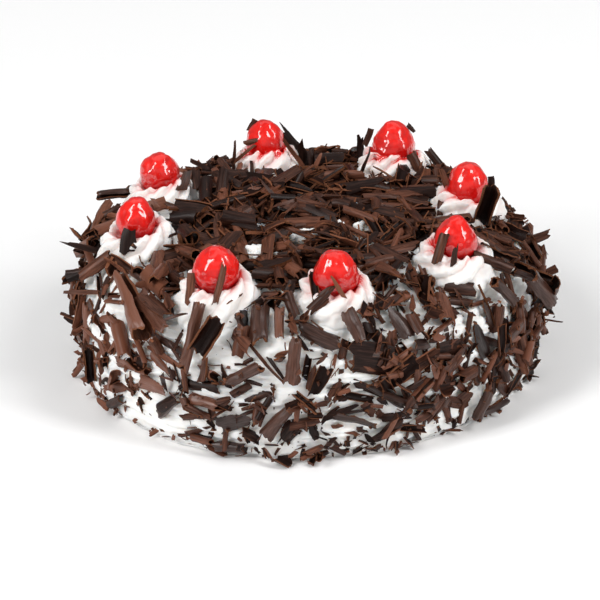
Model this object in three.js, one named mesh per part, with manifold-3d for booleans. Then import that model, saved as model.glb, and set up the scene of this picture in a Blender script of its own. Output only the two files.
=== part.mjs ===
// A round black forest cake: a solid cake covered in cream, a ring of eight piped cream rosettes
// that each hold a glazed cherry, a blanket of chocolate shavings inside the ring, and the
// largest chocolate curls that cling to the rim and the side.
// Millimetres and degrees, +Z up. The origin is the middle of the underside.
import * as THREE from "three";
import { mergeVertices } from "three/addons/utils/BufferGeometryUtils.js";
import Module from "manifold-3d";

const wasm = await Module();
wasm.setup();

// ---------------------------------------------------------------- driving dimensions

// The cream's outline as (radius, height): the slightly crowned top, the round over its edge,
// the side with a faint belly, and the small round at the foot.
const TOP_MIDDLE = [0, 70];
const TOP_BEND = [60, 70.5];
const TOP_EDGE = [88, 68];
const ROUND_UPPER_BEND = [101, 66.5];
const ROUND_LOWER_BEND = [108, 60];
const SHOULDER = [110.5, 46];
const BELLY_BEND = [113.5, 24];
const FOOT = [112, 4];
const FOOT_BEND = [111.7, 0];
const FOOT_INNER = [108, 0];
const CAKE_SIDES = 48;
const STEPS_PER_CURVE = 4;

// The swells that a palette knife leaves in the side, each as a number of waves round the cake,
// the height over which they lean by a radian, and their depth. They fade out towards the foot.
const SWELLS = [
  { around: 3, lean: 17, depth: 0.3 },
  { around: 7, lean: -9, depth: 0.2 },
];
const SWELL_FADE = 12;

// A rosette from a star nozzle: its outline as (share of its radius, height above the cake's top),
// from the skirt that runs down over the cake's rounded edge to the lip round the cherry.
const ROSETTE_PROFILE = [
  [0.96, -16],
  [1, 0],
  [0.95, 4],
  [0.78, 9],
  [0.55, 12.5],
];
const ROSETTE_RIDGES = 8;
const SIDES_PER_RIDGE = 2;
const RIDGE_DEPTH = 0.11; // as a share of the radius
const TWIST_PER_MM = 3.5; // how far the ridges turn as they rise

const CHERRY_SIDES = 12;
const CHERRY_ROWS = 7;

// The shavings on the top, as one heap with an uneven back and an uneven edge.
const BLANKET_RADIUS = 94;
const BLANKET_THICKNESS = 8; // at its middle
const BLANKET_RIM = 1.8; // its thickness at the edge
const BLANKET_ROOT = 8; // how far it starts below the cream, before it is trimmed to it
const BLANKET_SIDES = 32;
const BLANKET_ROWS = 5;
const LUMP_HEIGHT = 0.7;
const LUMPS = [
  { x: 0.14, y: 0.09 },
  { x: -0.08, y: 0.16 },
  { x: 0.05, y: -0.12 },
];
const FRINGE_DEPTH = 1.1;
const FRINGE_WAVES = [5, 9, 14];

const CHOCOLATE = 1; // thickness of a shaving
const GAP = 0.35; // left between pieces that touch
const LIFT_STEP = 0.4; // a curl is raised by this much at a time until it lies clear
const MOST_LIFT = 18;

// The eight rosettes, anticlockwise from the right. azimuth and ring place each one and its cherry;
// wide is the rosette's radius; across, tall and middle are the cherry's width, its height and how
// high its centre is; taper draws its crown in and swells its foot; lean tips it outwards.
const ROSETTES = [
  { azimuth: 11, ring: 83, wide: 20, across: 22, tall: 23.5, middle: 83.5, taper: 0.2, lean: 4 },
  { azimuth: 57, ring: 86, wide: 20, across: 21.5, tall: 24, middle: 84, taper: 0.32, lean: 2 },
  { azimuth: 103, ring: 84, wide: 19, across: 20.5, tall: 23, middle: 84, taper: 0.22, lean: 0 },
  { azimuth: 149, ring: 84.5, wide: 19, across: 20.5, tall: 21.5, middle: 84, taper: 0.1, lean: -6 },
  { azimuth: 189, ring: 83.5, wide: 21, across: 19.5, tall: 23.5, middle: 83.5, taper: 0.12, lean: -2 },
  { azimuth: 240, ring: 85.5, wide: 21, across: 22.5, tall: 23.5, middle: 83.5, taper: 0.15, lean: 3 },
  { azimuth: 279, ring: 83, wide: 19, across: 21.5, tall: 23.5, middle: 83, taper: 0.2, lean: 2 },
  { azimuth: 326, ring: 86, wide: 21, across: 20.5, tall: 22.5, middle: 83.5, taper: 0.28, lean: 3 },
];

// The kinds of shaving. roll is the arc of the section, and pitch how much its radius grows in a
// full turn. Towards the far end, point narrows the sheet and cone narrows the roll itself.
const KINDS = {
  scroll: { roll: 400, pitch: 1.5, point: 1, cone: 1, across: 10, along: 1 },
  pipe: { roll: 325, pitch: 0, point: 1, cone: 1, across: 8, along: 1 },
  cone: { roll: 300, pitch: 0, point: 0.85, cone: 0.5, across: 8, along: 1 },
  gutter: { roll: 205, pitch: 0, point: 0.9, cone: 1, across: 6, along: 1 },
  flake: { roll: 75, pitch: 0, point: 0.55, cone: 1, across: 3, along: 2 },
  shard: { roll: 60, pitch: 0, point: 0.15, cone: 1, across: 3, along: 2 },
};

// The largest curls. azimuth and run place the middle of each one: run is the way along the cream's
// outline from the middle of the top. turn is the angle of its length from level, stand raises
// its far end off the cream, and facing rolls it: at 0 its hollow faces the cake.
const CURLS = [
  // left side
  { kind: "cone", azimuth: 219, run: 106, length: 42, width: 12.5, turn: 151, stand: 0, facing: -105 },
  { kind: "flake", azimuth: 227, run: 106, length: 33, width: 9, turn: -22, stand: 8, facing: 0 },
  { kind: "gutter", azimuth: 202, run: 149, length: 20, width: 6, turn: 87, stand: 3, facing: -111 },
  { kind: "gutter", azimuth: 197, run: 130, length: 21, width: 5.5, turn: -70, stand: 3, facing: 0 },
  { kind: "shard", azimuth: 171, run: 111, length: 17, width: 5, turn: 106, stand: 62, facing: 0 },
  { kind: "flake", azimuth: 220, run: 134, length: 23, width: 5.4, turn: 6, stand: 4, facing: 10 },
  { kind: "flake", azimuth: 229, run: 139, length: 20, width: 7.6, turn: 3, stand: 8, facing: 0 },
  { kind: "pipe", azimuth: 192, run: 112, length: 16, width: 4.6, turn: -66, stand: 60, facing: 0 },
  { kind: "pipe", azimuth: 150, run: 106, length: 19, width: 5.4, turn: -45, stand: 36, facing: 60 },
  // front
  { kind: "scroll", azimuth: 240.5, run: 110, length: 33, width: 6.4, turn: -96, stand: -8, facing: 90 },
  { kind: "gutter", azimuth: 245.5, run: 110, length: 20, width: 9.6, turn: 63, stand: 8, facing: -160 },
  { kind: "gutter", azimuth: 256.5, run: 101, length: 20, width: 9, turn: -80, stand: -6, facing: 0 },
  { kind: "pipe", azimuth: 262, run: 100, length: 17, width: 4.8, turn: -84, stand: -6, facing: 60 },
  { kind: "cone", azimuth: 266, run: 116, length: 22, width: 9.4, turn: 80, stand: 6, facing: 10 },
  { kind: "scroll", azimuth: 254.5, run: 123, length: 19.5, width: 7, turn: 33, stand: 5, facing: 120 },
  { kind: "gutter", azimuth: 233.5, run: 147, length: 19, width: 5, turn: 43, stand: 4, facing: 0 },
  { kind: "scroll", azimuth: 244.5, run: 140, length: 16, width: 6.6, turn: -7, stand: 5, facing: 100 },
  { kind: "flake", azimuth: 251.5, run: 148, length: 19, width: 9, turn: 26, stand: 8, facing: 0 },
  { kind: "cone", azimuth: 262, run: 145, length: 20, width: 8.2, turn: 53, stand: 6, facing: 0 },
  { kind: "gutter", azimuth: 250, run: 162, length: 17, width: 5.8, turn: 2, stand: 0, facing: 0 },
  { kind: "gutter", azimuth: 272.5, run: 106, length: 21, width: 7.8, turn: -29, stand: 5, facing: 0 },
  { kind: "flake", azimuth: 281, run: 104.5, length: 17, width: 8.3, turn: -77, stand: -4, facing: 0 },
  { kind: "shard", azimuth: 293.5, run: 104, length: 19, width: 10, turn: 109, stand: 10, facing: 0 },
  { kind: "flake", azimuth: 280, run: 147, length: 22, width: 5.4, turn: -17, stand: 7, facing: 30 },
  { kind: "gutter", azimuth: 288, run: 137, length: 22, width: 5, turn: -38, stand: 5, facing: 0 },
  // right side
  { kind: "pipe", azimuth: 326, run: 110, length: 18.5, width: 5.9, turn: -55, stand: -6, facing: 150 },
  { kind: "cone", azimuth: 341, run: 114, length: 25, width: 8.6, turn: -56, stand: 34, facing: -173 },
  { kind: "gutter", azimuth: 354.5, run: 88, length: 22, width: 9.2, turn: -114, stand: 78, facing: -55 },
  { kind: "gutter", azimuth: 338, run: 118, length: 24, width: 9, turn: -62, stand: 6, facing: 0 },
  { kind: "shard", azimuth: 315.5, run: 124, length: 24, width: 8.6, turn: 112, stand: 6, facing: 0 },
  { kind: "shard", azimuth: 320, run: 115, length: 17, width: 5.6, turn: 108, stand: 10, facing: 0 },
  { kind: "pipe", azimuth: 319, run: 163, length: 25, width: 4.4, turn: -4, stand: 0, facing: 90 },
  { kind: "gutter", azimuth: 313, run: 155, length: 17, width: 6.3, turn: 62, stand: 5, facing: 0 },
  { kind: "scroll", azimuth: 4, run: 110, length: 14, width: 6.4, turn: 12, stand: -6, facing: 100 },
  // back
  { kind: "scroll", azimuth: 24, run: 122, length: 26, width: 6.4, turn: 35, stand: 6, facing: 60 },
  { kind: "cone", azimuth: 46, run: 136, length: 22, width: 8.6, turn: -58, stand: 6, facing: 0 },
  { kind: "gutter", azimuth: 68, run: 120, length: 30, width: 7.4, turn: 18, stand: 5, facing: 150 },
  { kind: "flake", azimuth: 84, run: 146, length: 22, width: 8.6, turn: -12, stand: 8, facing: 0 },
  { kind: "scroll", azimuth: 99, run: 126, length: 24, width: 6.4, turn: 72, stand: 6, facing: 90 },
  { kind: "gutter", azimuth: 118, run: 117, length: 28, width: 8.2, turn: -40, stand: 6, facing: 0 },
  { kind: "shard", azimuth: 136, run: 144, length: 24, width: 8.4, turn: 58, stand: 7, facing: 0 },
  { kind: "scroll", azimuth: 158, run: 134, length: 25, width: 6.6, turn: -15, stand: 6, facing: 120 },
];

// ---------------------------------------------------------------- shared helpers

const { degToRad, radToDeg, lerp } = THREE.MathUtils;
const UP = new THREE.Vector3(0, 0, 1);
const WELD = 1e-3;

// A closed geometry as a manifold-3d solid, with its shared vertices merged.
function solidOf(geometry) {
  const bare = geometry.toNonIndexed();
  bare.deleteAttribute("normal");
  bare.deleteAttribute("uv");
  const merged = mergeVertices(bare, WELD);
  const vertProperties = merged.attributes.position.array;
  const triVerts = new Uint32Array(merged.index.array);
  return new wasm.Manifold(new wasm.Mesh({ numProp: 3, vertProperties, triVerts }));
}

// A manifold-3d solid as a geometry that three.js can draw.
function geometryOf(solid) {
  const mesh = solid.getMesh();
  const geometry = new THREE.BufferGeometry();
  geometry.setAttribute("position", new THREE.BufferAttribute(mesh.vertProperties, 3));
  geometry.setIndex(new THREE.BufferAttribute(mesh.triVerts, 1));
  return geometry;
}

// Moves every vertex of a geometry by a function of its position.
function reshape(geometry, move) {
  const position = geometry.getAttribute("position");
  const point = new THREE.Vector3();
  for (let i = 0; i < position.count; i++) {
    point.fromBufferAttribute(position, i);
    move(point);
    position.setXYZ(i, point.x, point.y, point.z);
  }
  return geometry;
}

// A solid of revolution about +Z. Its profile of (radius, height) points runs up the outside.
function turned(profile, sides) {
  return new THREE.LatheGeometry(profile, sides).rotateX(degToRad(90));
}

// A point at an azimuth, a distance from the axis and a height.
function around(azimuth, radius, height) {
  const angle = degToRad(azimuth);
  return new THREE.Vector3(radius * Math.cos(angle), radius * Math.sin(angle), height);
}

// ---------------------------------------------------------------- the cake

// The cream's outline, from the middle of the top over the rounded edge and down to the foot.
function creamOutline() {
  const path = new THREE.Path();
  path.moveTo(...TOP_MIDDLE);
  path.quadraticCurveTo(...TOP_BEND, ...TOP_EDGE);
  path.bezierCurveTo(...ROUND_UPPER_BEND, ...ROUND_LOWER_BEND, ...SHOULDER);
  path.quadraticCurveTo(...BELLY_BEND, ...FOOT);
  path.quadraticCurveTo(...FOOT_BEND, ...FOOT_INNER);
  return path;
}

const OUTLINE = creamOutline();
const OUTLINE_LENGTH = OUTLINE.getLength();

// A point of the outline, and the way the cream faces there.
function onOutline(run) {
  const share = Math.min(run / OUTLINE_LENGTH, 1);
  const tangent = OUTLINE.getTangentAt(share);
  return { at: OUTLINE.getPointAt(share), facing: new THREE.Vector2(-tangent.y, tangent.x) };
}

// The height of the cake's top at a radius. The top is so flat that the run there is near the radius.
function topHeight(radius) {
  const run = radius + (radius - onOutline(radius).at.x);
  return onOutline(run).at.y;
}

// The outline grown by a clearance, and closed along the cake's axis and underside.
function cakeProfile(clearance) {
  const drawn = OUTLINE.getPoints(STEPS_PER_CURVE);
  const grown = drawn.map((point, i) => {
    const before = drawn[Math.max(i - 1, 0)];
    const after = drawn[Math.min(i + 1, drawn.length - 1)];
    const outwards = new THREE.Vector2(before.y - after.y, after.x - before.x).normalize();
    return point.clone().addScaledVector(outwards, clearance);
  });
  grown[0].x = 0;
  grown[grown.length - 1].y = -clearance;
  return [new THREE.Vector2(0, -clearance), ...grown.reverse()];
}

// The cream-covered cake. An uncut cake is one solid.
function cakeSolid(clearance = 0) {
  const cake = reshape(turned(cakeProfile(clearance), CAKE_SIDES), (point) => {
    const azimuth = Math.atan2(point.y, point.x);
    const radius = Math.hypot(point.x, point.y);
    const fade = Math.min(Math.max(point.z, 0) / SWELL_FADE, 1);
    const swell = SWELLS.reduce((sum, wave) => {
      return sum + wave.depth * Math.sin(wave.around * azimuth + point.z / wave.lean);
    }, 0);
    const stretch = 1 + (swell * fade) / SHOULDER[0];
    point.copy(around(radToDeg(azimuth), radius * stretch, point.z));
  });
  return solidOf(cake);
}

// ---------------------------------------------------------------- rosettes and cherries

// A piped swirl: a stack of star sections that turn as they rise and close round the cherry.
function rosetteSolid(row, clearance = 0) {
  const wide = row.wide + clearance;
  const profile = ROSETTE_PROFILE.map(([share, height]) => new THREE.Vector2(wide * share, height));
  const lip = profile[profile.length - 1];
  lip.y += clearance;
  profile.unshift(new THREE.Vector2(0, profile[0].y));
  profile.push(new THREE.Vector2(0, lip.y));
  const swirl = reshape(turned(profile, ROSETTE_RIDGES * SIDES_PER_RIDGE), (point) => {
    const angle = Math.atan2(point.y, point.x);
    const valley = (1 - Math.cos(ROSETTE_RIDGES * angle)) / 2;
    const radius = Math.hypot(point.x, point.y) * (1 - RIDGE_DEPTH * valley);
    const twisted = radToDeg(angle) + TWIST_PER_MM * point.z;
    point.copy(around(twisted, radius, point.z));
  });
  return solidOf(swirl.translate(...around(row.azimuth, row.ring, topHeight(row.ring))));
}

// A stoned cherry under its glaze: full below, drawn up to a blunt crown.
function cherrySolid(row, clearance = 0) {
  const ball = new THREE.SphereGeometry(1, CHERRY_SIDES, CHERRY_ROWS).rotateX(degToRad(90));
  const cherry = reshape(ball, (point) => {
    const waist = row.across / 2 + clearance;
    const drawnIn = 1 - row.taper * point.z;
    point.x *= waist * drawnIn;
    point.y *= waist * drawnIn;
    point.z *= row.tall / 2 + clearance;
  });
  cherry.rotateY(degToRad(row.lean));
  cherry.rotateZ(degToRad(row.azimuth));
  return solidOf(cherry.translate(...around(row.azimuth, row.ring, row.middle)));
}

// ---------------------------------------------------------------- the blanket of shavings

// The heap of shavings on the top, before the cream and the rosettes are trimmed out of it.
function blanketSolid() {
  const root = TOP_EDGE[1] - BLANKET_ROOT;
  const profile = [new THREE.Vector2(0, root)];
  profile.push(new THREE.Vector2(BLANKET_RADIUS, root));
  for (let i = BLANKET_ROWS; i >= 0; i--) {
    const share = i / BLANKET_ROWS;
    const radius = BLANKET_RADIUS * share;
    const thickness = lerp(BLANKET_THICKNESS, BLANKET_RIM, share ** 3);
    profile.push(new THREE.Vector2(radius, topHeight(radius) + thickness));
  }
  const heap = reshape(turned(profile, BLANKET_SIDES), (point) => {
    const azimuth = Math.atan2(point.y, point.x);
    const share = Math.hypot(point.x, point.y) / BLANKET_RADIUS;
    const lump = LUMPS.reduce((sum, wave) => sum + Math.sin(wave.x * point.x + wave.y * point.y), 0);
    const fringe = FRINGE_WAVES.reduce((sum, waves) => sum + Math.sin(waves * azimuth), 0);
    const spread = 1 + ((FRINGE_DEPTH * fringe) / BLANKET_RADIUS) * share;
    if (point.z > root) point.z += LUMP_HEIGHT * lump * (1 - share);
    point.x *= spread;
    point.y *= spread;
  });
  return solidOf(heap);
}

// ---------------------------------------------------------------- chocolate curls

// One shaving: a thin sheet that rolled up about its own length as the blade took it off.
function curlGeometry(row) {
  const kind = KINDS[row.kind];
  const roll = degToRad(kind.roll);
  const halfArc = Math.min(roll, Math.PI) / 2;
  const radius = row.width / 2 / Math.sin(halfArc) - CHOCOLATE / 2;
  const sheet = new THREE.BoxGeometry(row.length, 1, CHOCOLATE, kind.along, kind.across, 1);
  return reshape(sheet, (point) => {
    const share = point.x / row.length + 0.5;
    const narrowed = lerp(1, kind.point, share ** 2);
    const angle = roll * point.y * narrowed;
    const wound = kind.pitch * (roll / (2 * Math.PI)) * (0.5 - point.y);
    const bend = radius * lerp(1, kind.cone, share) - wound + point.z;
    point.y = bend * Math.sin(angle);
    point.z = bend * Math.cos(angle) - radius * Math.cos(halfArc);
  });
}

// A curl in its place on the cream, raised by lift.
function curlSolid(row, lift) {
  const { at, facing } = onOutline(row.run);
  const out = around(row.azimuth, facing.x, facing.y);
  const level = new THREE.Vector3().crossVectors(UP, out).normalize();
  const climb = new THREE.Vector3().crossVectors(out, level);
  const middle = around(row.azimuth, at.x, at.y).addScaledVector(out, lift);
  const curl = curlGeometry(row);
  curl.rotateX(degToRad(row.facing));
  curl.rotateY(degToRad(-row.stand));
  curl.rotateZ(degToRad(row.turn));
  curl.applyMatrix4(new THREE.Matrix4().makeBasis(level, climb, out).setPosition(middle));
  return solidOf(curl);
}

// Raises a curl off the cream until it lies clear of all that was placed before it.
function laidCurl(row, placed) {
  for (let lift = -row.width; lift < MOST_LIFT; lift += LIFT_STEP) {
    const curl = curlSolid(row, lift);
    const isClear = placed.every((other) => curl.intersect(other).isEmpty());
    if (isClear) return curlSolid(row, lift + GAP);
  }
  throw new Error(`no room for the curl at azimuth ${row.azimuth}`);
}

// ---------------------------------------------------------------- assembly

const CREAM = new THREE.MeshStandardMaterial({ color: 0xf4f1ec, roughness: 0.6, metalness: 0 });
const GLAZED_CHERRY = new THREE.MeshStandardMaterial({ color: 0xd8120f, roughness: 0.1, metalness: 0 });
const DARK_CHOCOLATE = new THREE.MeshStandardMaterial({ color: 0x472a20, roughness: 0.5, metalness: 0 });

function blackForestCake() {
  const group = new THREE.Group();
  const placed = [];
  const add = (name, solid, material) => {
    const mesh = new THREE.Mesh(geometryOf(solid), material.clone());
    mesh.name = name;
    group.add(mesh);
    placed.push(solid);
  };

  add("cake", cakeSolid(), CREAM);
  const cakeRoom = cakeSolid(GAP);

  ROSETTES.forEach((row, i) => {
    const cup = cherrySolid(row, GAP);
    add(`rosette_${i + 1}`, rosetteSolid(row).subtract(cakeRoom).subtract(cup), CREAM);
    add(`cherry_${i + 1}`, cherrySolid(row), GLAZED_CHERRY);
  });

  const rooms = [cakeRoom, ...ROSETTES.map((row) => rosetteSolid(row, GAP))];
  const blanket = rooms.reduce((heap, room) => heap.subtract(room), blanketSolid());
  add("shavings_blanket", blanket, DARK_CHOCOLATE);

  CURLS.forEach((row, i) => add(`curl_${i + 1}`, laidCurl(row, placed), DARK_CHOCOLATE));
  return group;
}

export default blackForestCake();
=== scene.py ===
# %% [markdown]
# # A black forest cake
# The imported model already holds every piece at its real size: the cream-covered cake, eight piped
# rosettes with a cherry each, the heap of shavings on the top and the largest chocolate curls. This
# lesson gives them their real surfaces, and adds the hundreds of smaller shavings and crumbs.
# Shapes are worked out in millimetres and turned into metres when a piece is finished.

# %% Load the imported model
import math

import bmesh
import bpy
import numpy as np
from mathutils import Matrix, Quaternion, Vector, noise
from mathutils.bvhtree import BVHTree


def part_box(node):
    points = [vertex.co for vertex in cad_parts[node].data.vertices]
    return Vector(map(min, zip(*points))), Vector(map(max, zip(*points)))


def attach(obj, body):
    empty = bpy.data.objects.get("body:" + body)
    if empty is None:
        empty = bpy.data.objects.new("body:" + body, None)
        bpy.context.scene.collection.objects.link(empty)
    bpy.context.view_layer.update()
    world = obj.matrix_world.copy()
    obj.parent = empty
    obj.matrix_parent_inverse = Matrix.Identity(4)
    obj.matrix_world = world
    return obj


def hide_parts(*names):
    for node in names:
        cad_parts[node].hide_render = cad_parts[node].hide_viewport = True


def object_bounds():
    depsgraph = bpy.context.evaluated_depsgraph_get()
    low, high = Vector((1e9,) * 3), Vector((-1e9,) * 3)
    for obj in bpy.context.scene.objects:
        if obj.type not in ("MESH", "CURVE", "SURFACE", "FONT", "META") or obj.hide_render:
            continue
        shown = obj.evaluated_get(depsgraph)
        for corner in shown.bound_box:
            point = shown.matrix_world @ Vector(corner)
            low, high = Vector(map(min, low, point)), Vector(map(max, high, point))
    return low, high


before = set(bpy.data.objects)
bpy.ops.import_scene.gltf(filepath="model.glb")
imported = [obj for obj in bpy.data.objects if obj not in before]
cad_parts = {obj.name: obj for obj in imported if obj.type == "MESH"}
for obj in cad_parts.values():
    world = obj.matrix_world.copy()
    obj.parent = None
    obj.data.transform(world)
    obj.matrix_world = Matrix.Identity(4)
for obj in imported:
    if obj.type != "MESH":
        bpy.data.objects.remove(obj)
cad_box = [list(corner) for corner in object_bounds()]
size_mm = [1000 * (high - low) for low, high in zip(*cad_box)]
print("the packed cake measures", [round(side, 1) for side in size_mm], "mm")

# %% [markdown]
# Every piece is finished in the same way: its mesh goes from millimetres to metres, gets smooth
# shading that breaks at sharp edges, takes its material, and rides on the cake. One helper does it,
# so that no piece is left behind.

# %% A helper that finishes a piece
MM = 0.001
SHARP_EDGE = math.radians(58)  # two faces that meet at more than this show a crisp edge


def add_piece(name, mesh, material, stands_for=()):
    """Makes a mesh in millimetres a finished piece of the cake, in place of some plain solids."""
    mesh.transform(Matrix.Scale(MM, 4))
    mesh.shade_smooth()
    mesh.set_sharp_from_angle(angle=SHARP_EDGE)
    mesh.materials.append(material)
    piece = bpy.data.objects.new(name, mesh)
    bpy.context.scene.collection.objects.link(piece)
    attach(piece, "root")
    if stands_for:
        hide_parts(*stands_for)
    triangles = sum(len(face.vertices) - 2 for face in mesh.polygons)
    print(f"{name}: {triangles} triangles")
    return piece


def mesh_of(name, shape):
    """Hands a bmesh over as a mesh."""
    mesh = bpy.data.meshes.new(name)
    shape.to_mesh(mesh)
    shape.free()
    return mesh

# %% [markdown]
# Materials are built from nodes. Writing each node as one line keeps a material readable, so this
# helper adds a node, sets it up and fills its inputs with values or with other nodes' outputs.

# %% Helpers for shader nodes
def add_node(tree, kind, inputs=(), **settings):
    """Adds a node to a tree, with its settings and its inputs filled."""
    made = tree.nodes.new(kind)
    for name, value in settings.items():
        setattr(made, name, value)
    for name, value in dict(inputs).items():
        if isinstance(value, bpy.types.NodeSocket):
            tree.links.new(value, made.inputs[name])
        else:
            made.inputs[name].default_value = value
    return made


def new_group(name, inputs, outputs):
    """A shader node group with named inputs and outputs, and the two nodes that stand for them."""
    tree = bpy.data.node_groups.new(name, "ShaderNodeTree")
    for socket, (kind, value) in inputs.items():
        made = tree.interface.new_socket(socket, in_out="INPUT", socket_type=kind)
        made.default_value = value
    for socket, kind in outputs.items():
        tree.interface.new_socket(socket, in_out="OUTPUT", socket_type=kind)
    return tree, add_node(tree, "NodeGroupInput"), add_node(tree, "NodeGroupOutput")


def new_material(name, **finish):
    """A material, its node tree and its Principled shader, with the uniform values set on it."""
    material = bpy.data.materials.new(name)
    material.use_nodes = True
    shader = material.node_tree.nodes["Principled BSDF"]
    for socket, value in finish.items():
        shader.inputs[socket.replace("_", " ")].default_value = value
    return material, material.node_tree, shader


def blend_colours(tree, share, first, second):
    """The output of a Mix node between two colours."""
    made = add_node(tree, "ShaderNodeMix", data_type="RGBA")
    for socket, value in ((0, share), (6, first), (7, second)):
        if isinstance(value, bpy.types.NodeSocket):
            tree.links.new(value, made.inputs[socket])
        else:
            made.inputs[socket].default_value = value
    return made.outputs[2]

# %% [markdown]
# Whipped cream is nearly white, a little warm where it is thick, and soft in the light because some
# of it goes below the surface. Its fine grain of tiny bubbles and dry edges is the same on the cake
# and on the piping, so it is a node group that both materials use.

# %% The fine surface of whipped cream
whipped, whipped_in, whipped_out = new_group(
    "whipped_cream_surface",
    {"Bubble Size": ("NodeSocketFloat", 2.0)},
    {"Height": "NodeSocketFloat", "Tint": "NodeSocketFloat"},
)
place_on_piece = add_node(whipped, "ShaderNodeTexCoord").outputs["Object"]
METRE_TO_MM = (1000.0, 1000.0, 1000.0)
in_mm = add_node(
    whipped,
    "ShaderNodeVectorMath",
    {0: place_on_piece, 1: METRE_TO_MM},
    operation="MULTIPLY",
).outputs[0]
bubble_rate = add_node(
    whipped,
    "ShaderNodeMath",
    {0: 1.0, 1: whipped_in.outputs["Bubble Size"]},
    operation="DIVIDE",
).outputs[0]
bubbles = add_node(
    whipped,
    "ShaderNodeTexNoise",
    {"Vector": in_mm, "Scale": bubble_rate, "Detail": 4.0, "Roughness": 0.6},
)
drifts = add_node(
    whipped, "ShaderNodeTexNoise", {"Vector": in_mm, "Scale": 0.05, "Detail": 2.0}
)
whipped.links.new(bubbles.outputs[0], whipped_out.inputs["Height"])
whipped.links.new(drifts.outputs[0], whipped_out.inputs["Tint"])
print("the cream's surface is a group of", len(whipped.nodes), "nodes")

# %% [markdown]
# The cake's cream takes its colour from that group alone. The piping also carries the cherries' red:
# a soft pink stain that has run down its creases, and a rim of clear glaze. Both are numbers kept on
# the piping's own corners, called stain and glaze, so they sit exactly where the shape puts them.

# %% The two creams
CREAM_LIGHT = (0.97, 0.945, 0.92, 1)
CREAM_THICK = (0.93, 0.895, 0.86, 1)
STAIN_PINK = (0.80, 0.22, 0.20, 1)
GLAZE_RED = (0.75, 0.008, 0.006, 1)
CREAM_FINISH = {
    "Roughness": 0.5,
    "Subsurface_Weight": 0.85,
    "Subsurface_Radius": (1.0, 0.92, 0.85),
    "Subsurface_Scale": 0.003,
}


def cream_colour_and_bump(tree, shader, bubble_size, depth):
    """Wires the whipped surface into a shader and returns its colour."""
    surface = add_node(tree, "ShaderNodeGroup", node_tree=whipped)
    surface.inputs["Bubble Size"].default_value = bubble_size
    bump = add_node(
        tree,
        "ShaderNodeBump",
        {"Height": surface.outputs["Height"], "Strength": 0.5, "Distance": depth * MM},
    )
    tree.links.new(bump.outputs[0], shader.inputs["Normal"])
    return blend_colours(tree, surface.outputs["Tint"], CREAM_LIGHT, CREAM_THICK)


cake_cream, tree, shader = new_material("whipped_cream", **CREAM_FINISH)
colour = cream_colour_and_bump(tree, shader, bubble_size=1.6, depth=0.5)
tree.links.new(colour, shader.inputs["Base Color"])

piped_cream, tree, shader = new_material("piped_cream", **CREAM_FINISH)
colour = cream_colour_and_bump(tree, shader, bubble_size=2.2, depth=0.3)
stain = add_node(tree, "ShaderNodeAttribute", attribute_name="stain").outputs["Fac"]
glaze = add_node(tree, "ShaderNodeAttribute", attribute_name="glaze").outputs["Fac"]
colour = blend_colours(tree, stain, colour, STAIN_PINK)
colour = blend_colours(tree, glaze, colour, GLAZE_RED)
tree.links.new(colour, shader.inputs["Base Color"])
wetness = add_node(
    tree, "ShaderNodeMapRange", {"Value": glaze, "To Min": 0.5, "To Max": 0.08}
)
tree.links.new(wetness.outputs[0], shader.inputs["Roughness"])
tree.links.new(glaze, shader.inputs["Coat Weight"])
print("the piping's cream has", len(tree.nodes), "nodes")

# %% [markdown]
# The cake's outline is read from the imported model: its corners on one side, in order from the
# middle of the top over the rounded edge to the foot. They are joined up, sampled evenly and
# smoothed, which rounds off the solid's few flat steps. From then on a place on the cream is given
# by its azimuth and its run, the way along the outline from the middle of the top.

# %% The cake's outline
OUTLINE_STEP = 1.0
SOFTEN = 3.0  # how far the smoothing reaches
ON_PLANE = 0.01  # corners this near the XZ plane are on it
UNDERSIDE = 1.0  # corners lower than this, and inside the foot, belong to the underside
FOOT_INNER = 107.0


def read_outline():
    """Rows of (run, radius, height, outward radius, outward height), a millimetre apart."""
    corners = [corner.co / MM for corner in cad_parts["cake"].data.vertices]
    on_one_side = {
        (round(p.x, 3), round(p.z, 3))
        for p in corners
        if p.x >= 0
        and abs(p.y) < ON_PLANE
        and not (p.z < UNDERSIDE and p.x < FOOT_INNER)
    }
    points = np.array(sorted(on_one_side, key=lambda p: p[0] - p[1]))
    steps = np.hypot(*np.diff(points, axis=0).T)
    runs = np.concatenate([[0], np.cumsum(steps)])
    even = np.arange(0, runs[-1], OUTLINE_STEP)
    drawn = np.column_stack([np.interp(even, runs, points[:, axis]) for axis in (0, 1)])
    reach = np.arange(-3 * SOFTEN, 3 * SOFTEN + 1)
    weights = np.exp(-0.5 * (reach / SOFTEN) ** 2)
    weights /= weights.sum()
    margin = len(reach) // 2
    padded = np.pad(drawn, ((margin, margin), (0, 0)), mode="reflect", reflect_type="odd")
    columns = [np.convolve(padded[:, axis], weights, "valid") for axis in (0, 1)]
    smooth = np.column_stack(columns)
    smooth[0, 0] = 0
    smooth[-1] = drawn[-1]
    along = np.gradient(smooth, axis=0)
    along /= np.hypot(*along.T)[:, None]
    return np.column_stack([even, smooth, -along[:, 1], along[:, 0]])


outline = read_outline()
RUN_END = outline[-1, 0]
WIDEST = outline[:, 1].max()
print(f"the outline is {RUN_END:.0f} mm long and {WIDEST:.1f} mm from the axis at its widest")


def on_outline(run):
    """The radius, height and outward direction at a run along the outline."""
    runs = outline[:, 0]
    return [float(np.interp(run, runs, outline[:, column])) for column in (1, 2, 3, 4)]


rising = outline[: int(np.argmax(outline[:, 1]))]


def cream_height(radius):
    """The height of the cream's upper side at a distance from the axis."""
    return float(np.interp(radius, rising[:, 1], rising[:, 2]))

# %% [markdown]
# The cream was spread with a palette knife. Held against the turning side, it leaves long soft
# ridges that lie nearly level and sway a little, broad dabs where it was lifted, finer drag lines
# and small tears. A spin turns the outline into the body, with a ring every three quarters of a
# millimetre on the side and few where the heap hides the top. Every corner then moves along its
# normal by what the knife left there. A bump in the material would leave the outline smooth.

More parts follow.
